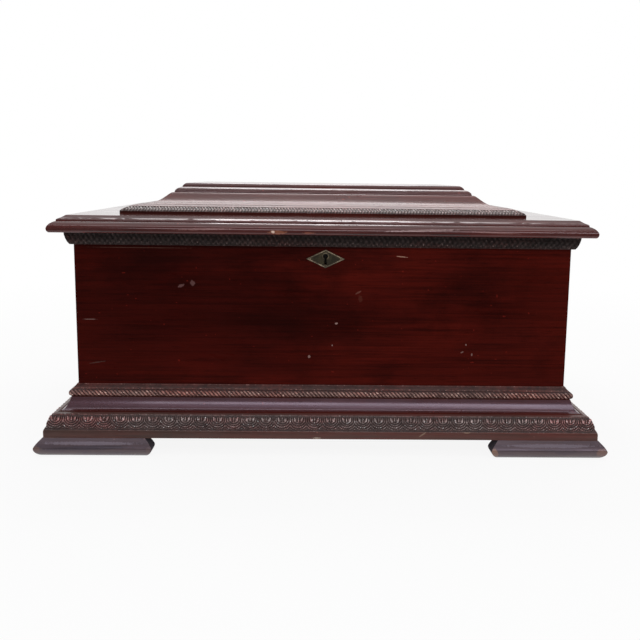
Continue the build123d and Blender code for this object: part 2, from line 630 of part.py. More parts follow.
FLANGE_R = 30.0
with BuildPart() as drive_hub:
    post(HUB_AT, THIN_R, MOTOR_Z, MOTOR_TOP + SHOULDER)
    post(HUB_AT, ARBOR_R, MOTOR_TOP + SHOULDER, DISC_Z - 6.0)
    post(HUB_AT, FLANGE_R, DISC_Z - 6.0, DISC_Z)
    post(HUB_AT, SPINDLE_R, DISC_Z, DISC_Z + 7.5)
    for number in range(DRIVE_PINS):
        post(polar(HUB_AT, DRIVE_R, 360.0 / DRIVE_PINS * number), DRIVE_PIN_R, DISC_Z, DISC_Z + 3.0)
    hub_tooth = bearing(HUB_AT, INTER_AT)
    extrude(gear_face(HUB_AT, HUB_T, HUB_M, hub_tooth, HUB_Z), amount=WHEEL_W, dir=(0, 0, 1))
finish(drive_hub, "drive_hub")

# ---------------------------------------------------------------- motor frame
MOTOR_X = (HUB_AT[0] - 50.0, BARREL_AT[0] + 95.0)
MOTOR_Y = (BARREL_AT[1] - 93.0, FAN_AT[1] + 30.0)
with BuildPart() as motor_plate:
    block(MOTOR_X, MOTOR_Y, (MOTOR_Z, MOTOR_TOP))
    fillet(motor_plate.edges().filter_by(Axis.Z), 12.0)
    for at, radius in ((HUB_AT, THIN_R), (BARREL_AT, THIN_R), (INTER_AT, PIVOT_R), (SECOND_AT, PIVOT_R),
                       (THIRD_AT, PIVOT_R), (FAN_AT, PIVOT_R)):
        post(at, radius + CLEAR, MOTOR_Z, MOTOR_TOP, mode=Mode.SUBTRACT)
finish(motor_plate, "motor_plate")

with BuildPart() as motor_pillars:
    for x in (MOTOR_X[0] + 12.0, MOTOR_X[1] - 12.0):
        for y in (MOTOR_Y[0] + 12.0, MOTOR_Y[1] - 12.0):
            post((x, y), ARBOR_R, MOTOR_TOP, PLATE_LOW)
finish(motor_pillars, "motor_pillars")

# ---------------------------------------------------------------- spring barrel and winding gear
with BuildPart() as spring_barrel:
    great_tooth = bearing(BARREL_AT, INTER_AT)
    extrude(gear_face(BARREL_AT, GREAT_T, GREAT_M, great_tooth, GREAT_Z), amount=GREAT_W, dir=(0, 0, 1))
    post(BARREL_AT, DRUM_R, GREAT_Z + GREAT_W, DRUM_TOP)
    post(BARREL_AT, DRUM_R - DRUM_WALL, GREAT_Z + GREAT_W, DRUM_TOP, mode=Mode.SUBTRACT)
    post(BARREL_AT, ARBOR_R + CLEAR, GREAT_Z, GREAT_Z + GREAT_W, mode=Mode.SUBTRACT)
finish(spring_barrel, "spring_barrel")

with BuildPart() as barrel_cover:
    post(BARREL_AT, DRUM_R, DRUM_TOP, DRUM_TOP + COVER_T)
    post(BARREL_AT, ARBOR_R + CLEAR, DRUM_TOP, DRUM_TOP + COVER_T, mode=Mode.SUBTRACT)
finish(barrel_cover, "barrel_cover")

SPRING_TURNS = 7
SPRING_STEPS = 20
SPRING_T = 0.9
SPRING_IN = 9.0
SPRING_OUT = DRUM_R - DRUM_WALL - CLEAR
with BuildPart() as mainspring:
    outer, inner = [], []
    for step in range(SPRING_TURNS * SPRING_STEPS + 1):
        part = step / (SPRING_TURNS * SPRING_STEPS)
        reach = SPRING_IN + (SPRING_OUT - SPRING_IN) * part
        turn = 360.0 * step / SPRING_STEPS
        outer.append(polar(BARREL_AT, reach, turn))
        inner.append(polar(BARREL_AT, reach - SPRING_T, turn))
    extrude(polygon(outer + inner[::-1], Plane.XY.offset(GREAT_Z + GREAT_W + CLEAR)),
            amount=DRUM_TOP - GREAT_Z - GREAT_W - 2 * CLEAR, dir=(0, 0, 1))
finish(mainspring, "mainspring")

SQUARE = 8.0
COLLAR_R = 10.0
with BuildPart() as winding_arbor:
    post(BARREL_AT, THIN_R, MOTOR_Z, MOTOR_TOP + SHOULDER)
    post(BARREL_AT, ARBOR_R, MOTOR_TOP + SHOULDER, CRANK_Z)
    post(BARREL_AT, COLLAR_R, PLATE_TOP + CLEAR, RATCHET_Z)
    block((BARREL_AT[0] - SQUARE / 2, BARREL_AT[0] + SQUARE / 2),
          (BARREL_AT[1] - SQUARE / 2, BARREL_AT[1] + SQUARE / 2), (CRANK_Z, CRANK_Z + CRANK_T + 2.0))
finish(winding_arbor, "winding_arbor")

with BuildPart() as ratchet_wheel:
    saw = []
    for tooth in range(RATCHET_TEETH):
        turn = 360.0 / RATCHET_TEETH * tooth
        saw.append(polar(BARREL_AT, RATCHET_R - 3.0, turn))
        saw.append(polar(BARREL_AT, RATCHET_R, turn + 1.0))
    extrude(polygon(saw, Plane.XY.offset(RATCHET_Z)), amount=RATCHET_T, dir=(0, 0, 1))
    post(BARREL_AT, ARBOR_R + CLEAR, RATCHET_Z, RATCHET_Z + RATCHET_T, mode=Mode.SUBTRACT)
finish(ratchet_wheel, "ratchet_wheel")

with BuildPart() as click:
    tip = polar(BARREL_AT, RATCHET_R + 1.0, CLICK_DIR + 48.0)
    heel = polar(BARREL_AT, RATCHET_R + 6.0, CLICK_DIR + 45.0)
    flank = polar(CLICK_AT, 6.0, bearing(CLICK_AT, BARREL_AT))
    back = polar(CLICK_AT, 6.5, bearing(CLICK_AT, BARREL_AT) - 110.0)
    extrude(polygon([flank, back, heel, tip], Plane.XY.offset(RATCHET_Z)), amount=RATCHET_T, dir=(0, 0, 1))
    post(CLICK_AT, 7.0, PLATE_TOP + CLEAR, RATCHET_Z + RATCHET_T)
    post(CLICK_AT, THIN_R + CLEAR, PLATE_TOP, RATCHET_Z + RATCHET_T, mode=Mode.SUBTRACT)
finish(click, "click")

ARM_W = 12.0
KNOB_PIN_R = 3.0
KNOB_TOP = BODY_TOP - 5.0
with BuildPart() as crank_arm:
    with BuildSketch(Plane.XY.offset(CRANK_Z)):
        with Locations(BARREL_AT):
            Circle(11.0)
        with Locations(KNOB_AT):
            Circle(8.0)
        middle = ((BARREL_AT[0] + KNOB_AT[0]) / 2, (BARREL_AT[1] + KNOB_AT[1]) / 2)
        with Locations(Location(middle, CRANK_DIR)):
            Rectangle(CRANK_LEN, ARM_W)
        with Locations(BARREL_AT):
            Rectangle(SQUARE + 2 * CLEAR, SQUARE + 2 * CLEAR, mode=Mode.SUBTRACT)
    extrude(amount=CRANK_T)
    post(KNOB_AT, KNOB_PIN_R, CRANK_Z + CRANK_T, KNOB_TOP - 8.0)
finish(crank_arm, "crank_arm")

KNOB_LOW = CRANK_Z + CRANK_T + CLEAR
KNOB_BORE = KNOB_TOP - 7.5
with BuildPart() as crank_knob:
    with BuildSketch(Plane((KNOB_AT[0], KNOB_AT[1], 0), x_dir=(1, 0, 0), z_dir=(0, -1, 0))):
        with BuildLine():
            Polyline((0, KNOB_LOW), (6.5, KNOB_LOW), (6.5, KNOB_LOW + 2.0))
            Spline((6.5, KNOB_LOW + 2.0), (5.6, KNOB_LOW + 7.0), (8.4, KNOB_LOW + 18.0),
                   (8.6, KNOB_LOW + 25.0), (4.0, KNOB_TOP - 0.6), (0, KNOB_TOP),
                   tangents=[(0, 1), (-1, 0)])
            Line((0, KNOB_TOP), (0, KNOB_LOW))
        make_face()
    revolve(axis=Axis((KNOB_AT[0], KNOB_AT[1], 0), (0, 0, 1)))
    post(KNOB_AT, KNOB_PIN_R + CLEAR, KNOB_LOW, KNOB_BORE, mode=Mode.SUBTRACT)
finish(crank_knob, "crank_knob")


# ---------------------------------------------------------------- wheels between barrel and fan
def arbor(at):
    """Thin arbor with a pivot at each end."""
    post(at, PIVOT_R, MOTOR_Z, MOTOR_TOP + SHOULDER)
    post(at, THIN_R, MOTOR_TOP + SHOULDER, PLATE_LOW - SHOULDER)
    post(at, PIVOT_R, PLATE_LOW - SHOULDER, PLATE_TOP - 1.0)


with BuildPart() as intermediate_wheel:
    arbor(INTER_AT)
    extrude(gear_face(INTER_AT, PINION_T, GREAT_M, gap_dir(bearing(INTER_AT, BARREL_AT), PINION_T),
                      GREAT_Z - 1.0), amount=GREAT_W + 2.0, dir=(0, 0, 1))
    extrude(gear_face(INTER_AT, INTER_T, HUB_M, gap_dir(bearing(INTER_AT, HUB_AT), INTER_T), HUB_Z),
            amount=WHEEL_W, dir=(0, 0, 1))
finish(intermediate_wheel, "intermediate_wheel")

SECOND_Z = HUB_Z - 18.0
THIRD_Z = HUB_Z - 40.0
THIN_W = 3.0
with BuildPart() as second_wheel:
    arbor(SECOND_AT)
    hub_phase = (bearing(HUB_AT, SECOND_AT) - hub_tooth) % (360.0 / HUB_T)
    pinion_dir = gap_dir(bearing(SECOND_AT, HUB_AT) + hub_phase * HUB_T / PINION_T, PINION_T)
    extrude(gear_face(SECOND_AT, PINION_T, HUB_M, pinion_dir, HUB_Z - 1.0), amount=WHEEL_W + 2.0,
            dir=(0, 0, 1))
    extrude(gear_face(SECOND_AT, SECOND_T, SECOND_M, bearing(SECOND_AT, THIRD_AT), SECOND_Z),
            amount=THIN_W, dir=(0, 0, 1))
finish(second_wheel, "second_wheel")

with BuildPart() as third_wheel:
    arbor(THIRD_AT)
    extrude(gear_face(THIRD_AT, SMALL_T, SECOND_M, gap_dir(bearing(THIRD_AT, SECOND_AT), SMALL_T),
                      SECOND_Z - 1.0), amount=THIN_W + 2.0, dir=(0, 0, 1))
    extrude(gear_face(THIRD_AT, THIRD_T, THIRD_M, bearing(THIRD_AT, FAN_AT), THIRD_Z), amount=THIN_W,
            dir=(0, 0, 1))
finish(third_wheel, "third_wheel")

FAN_R = 25.0
FAN_Z = (THIRD_Z + 10.0, HUB_Z + 4.0)
with BuildPart() as governor_fan:
    arbor(FAN_AT)
    extrude(gear_face(FAN_AT, SMALL_T, THIRD_M, gap_dir(bearing(FAN_AT, THIRD_AT), SMALL_T), THIRD_Z - 1.0),
            amount=THIN_W + 2.0, dir=(0, 0, 1))
    block((FAN_AT[0] - FAN_R, FAN_AT[0] + FAN_R), (FAN_AT[1] - 0.6, FAN_AT[1] + 0.6), FAN_Z)
finish(governor_fan, "governor_fan")

# ---------------------------------------------------------------- stop lever
LEVER_LEN = 70.0
with BuildPart() as stop_lever:
    post(STOP_AT, 9.0, PLATE_TOP + CLEAR, PLATE_TOP + 6.0)
    block((STOP_AT[0] - 5.0, STOP_AT[0] + 5.0), (STOP_AT[1] - LEVER_LEN, STOP_AT[1]),
          (PLATE_TOP + CLEAR, PLATE_TOP + 6.0))
    post((STOP_AT[0], STOP_AT[1] - LEVER_LEN), 5.0, PLATE_TOP + CLEAR, PLATE_TOP + 6.0)
    post((STOP_AT[0], STOP_AT[1] - LEVER_LEN), 3.5, PLATE_TOP + 6.0, PLATE_TOP + 26.0)
    post((STOP_AT[0], STOP_AT[1] - LEVER_LEN), 5.0, PLATE_TOP + 26.0, PLATE_TOP + 32.0)
    post(STOP_AT, STUD_R + CLEAR, PLATE_TOP, PLATE_TOP + 6.0, mode=Mode.SUBTRACT)
finish(stop_lever, "stop_lever")

# ---------------------------------------------------------------- hold-down bar, post and rollers
BAR_PIN_R = 2.5
EYE_R = 6.0
EYE_HALF = 7.0
with BuildPart() as bar_post:
    block((BAR_PIVOT_X - 14.0, BAR_PIVOT_X + 12.0), (DISC_Y - 14.0, DISC_Y + 14.0),
          (PLATE_TOP, PLATE_TOP + 6.0))
    for side in (-1, 1):
        ear = sorted((DISC_Y + side * (EYE_HALF + 1.0), DISC_Y + side * (EYE_HALF + 5.0)))
        block((BAR_PIVOT_X - 7.0, BAR_PIVOT_X + 7.0), ear, (PLATE_TOP + 6.0, BAR_Z + 7.0))
    rod_y(BAR_PIVOT_X, BAR_Z, BAR_PIN_R, DISC_Y - EYE_HALF - 6.0, DISC_Y + EYE_HALF + 6.0)
finish(bar_post, "bar_post")

AXLE_Z = DISC_Z + DISC_T + CLEAR + ROLLER_R
AXLE_R = 1.0
ROLLER_L = 5.0
with BuildPart() as hold_down_bar:
    rod_y(BAR_PIVOT_X, BAR_Z, EYE_R, DISC_Y - EYE_HALF, DISC_Y + EYE_HALF)
    block((BAR_PIVOT_X, DISC_X), (DISC_Y - 6.0, DISC_Y + 6.0), (BAR_Z - BAR_T / 2, BAR_Z + BAR_T / 2))
    post(HUB_AT, 11.0, BAR_Z - 6.0, BAR_Z + BAR_T / 2)
    post(HUB_AT, 5.0, BAR_Z + BAR_T / 2, BAR_Z + 10.0)
    post(HUB_AT, 8.0, BAR_Z + 10.0, BAR_Z + 15.0)
    for track in ROLLER_TRACKS.values():
        for side in (-1, 1):
            cheek = DISC_X - track + side * (ROLLER_L / 2 + CLEAR + 0.75)
            block((cheek - 0.75, cheek + 0.75), (DISC_Y - 3.0, DISC_Y + 3.0),
                  (AXLE_Z - 2.0, BAR_Z - BAR_T / 2))
        rod_x(DISC_Y, AXLE_Z, AXLE_R, DISC_X - track - 4.0, DISC_X - track + 4.0)
    post(HUB_AT, SPINDLE_R + 2 * CLEAR, BAR_Z - 6.0, BAR_Z - 2.5, mode=Mode.SUBTRACT)
    rod_y(BAR_PIVOT_X, BAR_Z, BAR_PIN_R + CLEAR, DISC_Y - EYE_HALF, DISC_Y + EYE_HALF, mode=Mode.SUBTRACT)
finish(hold_down_bar, "hold_down_bar")

for name, track in ROLLER_TRACKS.items():
    with BuildPart() as roller:
        rod_x(DISC_Y, AXLE_Z, ROLLER_R, DISC_X - track - ROLLER_L / 2, DISC_X - track + ROLLER_L / 2)
        rod_x(DISC_Y, AXLE_Z, AXLE_R + CLEAR, DISC_X - track - ROLLER_L, DISC_X - track + ROLLER_L,
              mode=Mode.SUBTRACT)
    finish(roller, name)
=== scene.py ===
"""Looks of the disc music box: carved mahogany case, domed lid and disc movement."""
import math

import bmesh
import bpy
import numpy as np
from mathutils import Matrix, Vector


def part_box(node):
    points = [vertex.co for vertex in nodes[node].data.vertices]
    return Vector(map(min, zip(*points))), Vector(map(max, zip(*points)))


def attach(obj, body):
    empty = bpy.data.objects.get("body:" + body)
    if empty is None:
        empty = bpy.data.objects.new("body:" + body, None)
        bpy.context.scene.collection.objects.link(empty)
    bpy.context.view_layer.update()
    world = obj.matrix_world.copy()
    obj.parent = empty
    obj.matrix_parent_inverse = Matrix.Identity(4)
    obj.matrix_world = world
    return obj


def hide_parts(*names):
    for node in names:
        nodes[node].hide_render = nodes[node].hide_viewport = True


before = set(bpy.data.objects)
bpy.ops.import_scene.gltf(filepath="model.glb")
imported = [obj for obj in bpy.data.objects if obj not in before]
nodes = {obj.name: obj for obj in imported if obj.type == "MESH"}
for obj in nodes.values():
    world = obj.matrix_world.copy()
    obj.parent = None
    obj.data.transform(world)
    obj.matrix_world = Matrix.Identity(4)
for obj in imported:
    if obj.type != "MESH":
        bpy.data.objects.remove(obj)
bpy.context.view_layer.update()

# ------------------------------------------------------------------ sizes, metres
MM = 0.001
HALF_W = 0.320
Y_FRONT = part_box("front_panel")[0][1]
Y_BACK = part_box("back_panel")[1][1]
DISC_CENTRE = (-0.040, (Y_FRONT + Y_BACK) / 2, 0.223)

# the photograph's camera: place in metres, angles in degrees, lens and sensor in mm
EYE = Vector((-0.0121, -1.1324 + Y_FRONT, 0.3580))
PITCH, YAW, ROLL = 9.337, 1.336, 0.731
LENS, SENSOR, SHIFT_X = 49.5, 36.0, -0.0223


# ------------------------------------------------------------------ camera
def add_camera():
    pitch, yaw, roll = (math.radians(a) for a in (PITCH, YAW, ROLL))
    fwd = Vector((math.sin(yaw) * math.cos(pitch), math.cos(yaw) * math.cos(pitch), -math.sin(pitch)))
    flat = Vector((math.cos(yaw), -math.sin(yaw), 0.0))
    lift = flat.cross(fwd)
    right = math.cos(roll) * flat + math.sin(roll) * lift
    up = -math.sin(roll) * flat + math.cos(roll) * lift
    data = bpy.data.cameras.new("camera")
    data.sensor_width = SENSOR
    data.lens = LENS
    data.shift_x = SHIFT_X
    data.clip_start = 0.01
    cam = bpy.data.objects.new("camera", data)
    cam.matrix_world = Matrix((
        (right.x, up.x, -fwd.x, EYE.x),
        (right.y, up.y, -fwd.y, EYE.y),
        (right.z, up.z, -fwd.z, EYE.z),
        (0.0, 0.0, 0.0, 1.0)))
    bpy.context.scene.collection.objects.link(cam)
    bpy.context.scene.camera = cam


# ------------------------------------------------------------------ node helpers
class Graph:
    """Adds and joins the nodes of one node tree."""

    def __init__(self, tree, coordinate):
        self.tree = tree
        self.coord = self.node("ShaderNodeTexCoord").outputs[coordinate]

    def node(self, kind, **settings):
        """New node; a setting is one of its properties, or else the value of one of its inputs."""
        made = self.tree.nodes.new(kind)
        for key, value in settings.items():
            if hasattr(made, key):
                setattr(made, key, value)
            else:
                made.inputs[key.replace("_", " ")].default_value = value
        return made

    def feed(self, socket, value):
        """Joins another node's output to an input, or sets the input's own value."""
        if isinstance(value, bpy.types.NodeSocket):
            self.tree.links.new(value, socket)
        elif socket.type == "RGBA":
            colour = (value,) * 3 if isinstance(value, (int, float)) else value
            socket.default_value = (*colour, 1.0)
        else:
            socket.default_value = value

    def noise(self, scale, detail=4.0, rough=0.55, offset=(0, 0, 0), distort=0.0):
        """Noise over the coordinate; the scale is one number, or one for each axis."""
        scale = (scale,) * 3 if isinstance(scale, float) else scale
        mapped = self.node("ShaderNodeMapping", Scale=scale, Location=offset)
        self.feed(mapped.inputs["Vector"], self.coord)
        made = self.node("ShaderNodeTexNoise", Scale=1.0, Detail=detail, Roughness=rough, Distortion=distort)
        self.feed(made.inputs["Vector"], mapped.outputs["Vector"])
        return made.outputs["Fac"]

    def ramp(self, fac, *stops):
        """Colour ramp; each stop is a position with a colour or a grey level."""
        made = self.node("ShaderNodeValToRGB")
        band = made.color_ramp
        while len(band.elements) < len(stops):
            band.elements.new(0.5)
        for element, (position, colour) in zip(band.elements, stops):
            element.position = position
            grey = isinstance(colour, (int, float))
            element.color = (colour, colour, colour, 1.0) if grey else (*colour, 1.0)
        self.feed(made.inputs["Fac"], fac)
        return made.outputs["Color"]

    def mix(self, fac, a, b, blend="MIX"):
        made = self.node("ShaderNodeMix", data_type="RGBA", blend_type=blend)
        for value, number in ((fac, 0), (a, 6), (b, 7)):
            self.feed(made.inputs[number], value)
        return made.outputs[2]

    def stain(self, base, colour, mask, *stops):
        """The base with a colour over it, as strong as the stops say for each value of the mask."""
        return self.mix(self.ramp(mask, *stops), base, colour)

    def math(self, op, a, b=0.0, **settings):
        made = self.node("ShaderNodeMath", operation=op, **settings)
        self.feed(made.inputs[0], a)
        self.feed(made.inputs[1], b)
        return made.outputs[0]

    def vector(self, op, a, b=None):
        """Vector maths; LENGTH and DOT_PRODUCT give a number."""
        made = self.node("ShaderNodeVectorMath", operation=op)
        self.feed(made.inputs[0], a)
        if b is not None:
            self.feed(made.inputs[1], b)
        return made.outputs["Value" if op in ("LENGTH", "DOT_PRODUCT") else "Vector"]

    def part(self, letter, vector):
        """The X, Y or Z part of a vector."""
        made = self.node("ShaderNodeSeparateXYZ")
        self.feed(made.inputs[0], vector)
        return made.outputs[letter]

    def fade(self, value, start, end, low, high, ease="SMOOTHSTEP"):
        """Low where the value is at start, high where it is at end."""
        made = self.node("ShaderNodeMapRange", interpolation_type=ease, From_Min=start, From_Max=end,
                         To_Min=low, To_Max=high)
        self.feed(made.inputs["Value"], value)
        return made.outputs["Result"]

    def edge_mask(self, gain):
        """1 on rounded edges, 0 on flats, from the bevelled normal."""
        bevelled = self.node("ShaderNodeBevel", samples=6, Radius=EDGE_RADIUS).outputs["Normal"]
        plain = self.node("ShaderNodeNewGeometry").outputs["Normal"]
        away = self.math("SUBTRACT", 1.0, self.vector("DOT_PRODUCT", bevelled, plain))
        return self.math("MULTIPLY", away, gain, use_clamp=True)

    def bump(self, height, distance, strength, normal=None):
        made = self.node("ShaderNodeBump", Distance=distance, Strength=strength)
        self.feed(made.inputs["Height"], height)
        if normal is not None:
            self.feed(made.inputs["Normal"], normal)
        return made.outputs["Normal"]


class Material(Graph):
    """The nodes of a new material round its Principled shader, in object coordinates."""

    def __init__(self, name):
        self.mat = bpy.data.materials.new(name)
        self.mat.use_nodes = True
        super().__init__(self.mat.node_tree, "Object")
        self.bsdf = self.tree.nodes["Principled BSDF"]

    def finish(self, colour, rough, normal=None, **fixed):
        """Feeds colour, roughness and normal, sets the fixed inputs and gives the material."""
        self.feed(self.bsdf.inputs["Base Color"], colour)
        self.feed(self.bsdf.inputs["Roughness"], rough)
        if normal is not None:
            self.feed(self.bsdf.inputs["Normal"], normal)
        for name, value in fixed.items():
            self.bsdf.inputs[name.replace("_", " ")].default_value = value
        return self.mat


EDGE_RADIUS = 0.0012    # how far from an edge it is worn, metres
RAGGED = 1.6            # how far noise breaks up the outline of a mark, in radii of the mark


def along(axis, fine, coarse):
    """Texture scale that is coarse along the grain and fine across it."""
    return tuple(coarse if letter == axis else fine for letter in "XYZ")


def shade(colour, factor):
    """A colour made darker or lighter."""
    return tuple(min(1.0, factor * c) for c in colour)


# ------------------------------------------------------------------ wood
def add_marks(t, base, marks):
    """Ragged patches over the base: each has centre, radii, turn about Y, colour and strength."""
    ragged = t.noise(330.0, rough=0.7, offset=(2, 2, 5))
    torn = t.math("MULTIPLY", t.math("SUBTRACT", ragged, 0.5), RAGGED)
    for centre, radii, turn, colour, amount in marks:
        turned = t.node("ShaderNodeMapping", Rotation=(0.0, turn, 0.0))
        t.feed(turned.inputs["Vector"], t.vector("SUBTRACT", t.coord, centre))
        far = t.vector("LENGTH", t.vector("DIVIDE", turned.outputs["Vector"], radii))
        base = t.stain(base, colour, t.math("ADD", far, torn), (0.75, amount), (1.0, 0.0))
    return base


def polished_wood(name, axis, deep, mid, glow, spec=0.25, rough=(0.26, 0.42), tint=(1, 1, 1), coat=0.0,
                  haze=0.0, haze_colour=(0.1, 0.08, 0.09), wear=0.35, wear_colour=(0.16, 0.05, 0.022),
                  scuff=None, shade_inner_ends=False, offset=(0, 0, 0), marks=()):
    """French-polished mahogany with its grain along one axis.

    Haze is dull old polish and wear is rubbing on the edges. Scuff is the height below which the wood
    is scraped, with the scrape's colour. Shade inner ends paints near-black shade on faces towards the case's
    middle.
    """
    t = Material(name)
    figure = t.noise(along(axis, 13.0, 2.6), offset=offset, distort=0.9)
    cloud = t.noise((2.4, 2.4, 3.4), detail=2.0, offset=offset)
    streak = t.noise(along(axis, 310.0, 7.0), detail=5.0, rough=0.65, offset=offset)
    blot = t.noise(along(axis, 15.0, 9.0), detail=6.0, rough=0.66, offset=(7, 7, 2))
    pores = t.noise(along(axis, 1500.0, 55.0), detail=2.0, rough=0.6, offset=offset)
    base = t.ramp(figure, (0.32, deep), (0.50, mid), (0.68, glow))
    base = t.stain(base, glow, cloud, (0.40, 0.0), (0.66, 0.75))
    base = t.stain(base, shade(deep, 0.5), streak, (0.42, 0.0), (0.68, 0.6))
    base = t.stain(base, shade(deep, 0.6), blot, (0.50, 0.0), (0.70, 0.6))
    base = t.stain(base, shade(deep, 0.25), pores, (0.60, 0.0), (0.72, 0.55))
    if haze:
        dust = t.noise(9.0, detail=7.0, rough=0.7, offset=(3, 1, 2))
        base = t.stain(base, haze_colour, dust, (0.35, 0.2 * haze), (0.72, haze))
    rubbed = t.noise(26.0, detail=5.0, rough=0.7, offset=(5, 2, 7))
    edge = t.math("MULTIPLY", t.edge_mask(5.0), t.ramp(rubbed, (0.42, 0.0), (0.66, wear)))
    base = t.mix(edge, base, wear_colour)
    specks = t.noise(210.0, detail=0.0, offset=(11, 4, 9))
    base = t.stain(base, shade(mid, 4.0), specks, (0.825, 0.0), (0.85, 0.55))
    if scuff:
        height, colour = scuff
        low = t.ramp(t.math("DIVIDE", t.part("Z", t.coord), height), (0.45, 1.0), (1.0, 0.0))
        worn = t.noise(along(axis, 120.0, 35.0), detail=5.0, rough=0.7, offset=(6, 1, 3))
        base = t.mix(t.math("MULTIPLY", low, t.ramp(worn, (0.36, 0.0), (0.6, 0.85))), base, colour)
    if marks:
        base = add_marks(t, base, marks)
    smear = t.noise(along(axis, 30.0, 9.0), rough=0.6, offset=(2, 7, 1))
    shine = t.ramp(smear, (0.3, rough[0]), (0.72, rough[1]))
    # painted shade: faces that look towards the case's middle turn near black and fully rough
    if shade_inner_ends:
        normal = t.node("ShaderNodeNewGeometry").outputs["Normal"]
        outward = t.part("X", t.vector("MULTIPLY", normal, t.vector("SIGN", t.coord)))
        inward = t.ramp(t.math("MULTIPLY", outward, -1.0), (0.35, 0.0), (0.6, 1.0))
        base = t.mix(inward, base, (0.006, 0.0035, 0.003))
        shine = t.mix(inward, shine, 1.0)
    normal = t.bump(figure, 0.0006, 0.10, t.bump(pores, 0.00004, 0.35))
    return t.finish(base, shine, normal, Specular_IOR_Level=spec, Specular_Tint=(*tint, 1.0),
                    Coat_Weight=coat, Coat_Roughness=0.1, Coat_IOR=1.6)


def carved_wood(name, pit, middle, crest, spec=0.5, rough=(0.28, 0.45), warm=(1.45, 0.85, 0.80)):
    """Stained carving: dark in the cuts, partly old dirt and partly painted shade; pale on the crests, partly
    rubbed and partly a painted highlight; redder in patches; white painted glints on the crests.
    """
    t = Material(name)
    depth = t.node("ShaderNodeAttribute", attribute_name="carve").outputs["Fac"]
    patch = t.noise((9.0, 9.0, 30.0), detail=5.0, rough=0.7, offset=(5, 5, 5))
    broken = t.noise(260.0, rough=0.7, offset=(8, 1, 6))
    mottled = t.noise((55.0, 55.0, 90.0), detail=6.0, rough=0.72)
    grain = t.noise((9.0, 210.0, 210.0), rough=0.6)
    specks = t.noise(420.0, detail=1.0, offset=(4, 4, 1))
    base = t.ramp(depth, (0.05, pit), (0.45, middle), (0.95, crest))
    base = t.mix(t.ramp(patch, (0.44, 0.0), (0.62, 1.0)), base, warm, "MULTIPLY")
    base = t.stain(base, pit, broken, (0.36, 0.75), (0.56, 0.0))
    base = t.stain(base, pit, mottled, (0.36, 0.6), (0.60, 0.0))
    base = t.stain(base, pit, grain, (0.4, 0.0), (0.7, 0.35))
    # painted glints: near-white specks on the crests
    glints = t.math("MULTIPLY", t.ramp(specks, (0.62, 0.0), (0.70, 0.9)), t.ramp(depth, (0.4, 0.0), (0.8, 1.0)))
    base = t.mix(glints, base, shade(crest, 2.0))
    shine = t.ramp(mottled, (0.3, rough[0]), (0.7, rough[1]))
    return t.finish(base, shine, t.bump(grain, 0.00008, 0.4), Specular_IOR_Level=spec)


def raw_wood(name, axis, dark, light):
    """Unfinished secondary timber."""
    t = Material(name)
    figure = t.noise(along(axis, 22.0, 1.5), distort=0.8)
    streak = t.noise(along(axis, 400.0, 8.0), rough=0.7)
    base = t.ramp(figure, (0.3, dark), (0.7, light))
    base = t.stain(base, shade(dark, 0.6), streak, (0.4, 0.0), (0.7, 0.5))
    return t.finish(base, 0.75, t.bump(streak, 0.0001, 0.5), Specular_IOR_Level=0.3)


# ------------------------------------------------------------------ metals
def plate_brass(name):
    """Old engraved brass: brown olive field, rubbed bright on the raised lines."""
    t = Material(name)
    depth = t.node("ShaderNodeAttribute", attribute_name="carve").outputs["Fac"]
    cloud = t.noise(150.0, detail=6.0, rough=0.7)
    base = t.ramp(depth, (0.15, (0.032, 0.025, 0.010)), (0.55, (0.120, 0.095, 0.048)),
                  (0.95, (0.50, 0.38, 0.26)))
    base = t.stain(base, (0.018, 0.013, 0.006), cloud, (0.42, 0.75), (0.60, 0.0))
    shine = t.ramp(cloud, (0.3, 0.55), (0.7, 0.32))
    return t.finish(base, shine, t.bump(cloud, 0.0001, 0.5), Metallic=0.4)


def metal(name, bright, dull, rough=(0.22, 0.4), metallic=1.0, spots=0.5):
    """Metal with tarnish clouds, dark spots and fine scratches."""
    t = Material(name)
    cloud = t.noise(22.0, detail=6.0, rough=0.65)
    spot = t.noise(160.0, rough=0.7, offset=(1, 8, 3))
    fine = t.noise(700.0, detail=3.0, rough=0.6)
    base = t.ramp(cloud, (0.34, dull), (0.66, bright))
    base = t.stain(base, (0.03, 0.02, 0.012), spot, (0.58, 0.0), (0.74, spots))
    shine = t.math("ADD", t.ramp(cloud, (0.3, rough[1]), (0.7, rough[0])), t.math("MULTIPLY", fine, 0.10))
    return t.finish(base, shine, t.bump(fine, 0.00002, 0.25), Metallic=metallic)


def ringed_metal(name, centre, bright, dull):
    """Rolled sheet steel with brown spots and faint turning rings about a centre."""
    t = Material(name)
    rings = t.node("ShaderNodeTexNoise", noise_dimensions="1D", Scale=1400.0, Detail=2.0)
    t.feed(rings.inputs["W"], t.vector("LENGTH", t.vector("SUBTRACT", t.coord, centre)))
    cloud = t.noise(9.0, detail=6.0, rough=0.65)
    spot = t.noise(120.0, rough=0.75, offset=(1, 8, 3))
    base = t.ramp(cloud, (0.32, dull), (0.66, bright))
    base = t.stain(base, (0.10, 0.055, 0.03), spot, (0.60, 0.0), (0.76, 0.5))
    shine = t.ramp(cloud, (0.3, 0.42), (0.7, 0.27))
    return t.finish(base, shine, t.bump(rings.outputs["Fac"], 0.00003, 0.35), Metallic=1.0)


def gilt_paint(name):
    """Bronze-powder paint over cast iron, rubbed through on the edges."""
    t = Material(name)
    cloud = t.noise(14.0, detail=6.0, rough=0.65)
    cast = t.noise(420.0, detail=3.0, rough=0.6)
    base = t.ramp(cloud, (0.3, (0.20, 0.125, 0.04)), (0.7, (0.36, 0.245, 0.09)))
    edge = t.math("MULTIPLY", t.edge_mask(4.0), t.ramp(cloud, (0.4, 0.0), (0.6, 0.8)))
    base = t.mix(edge, base, (0.04, 0.03, 0.025))
    return t.finish(base, 0.42, t.bump(cast, 0.00012, 0.45), Metallic=0.65)


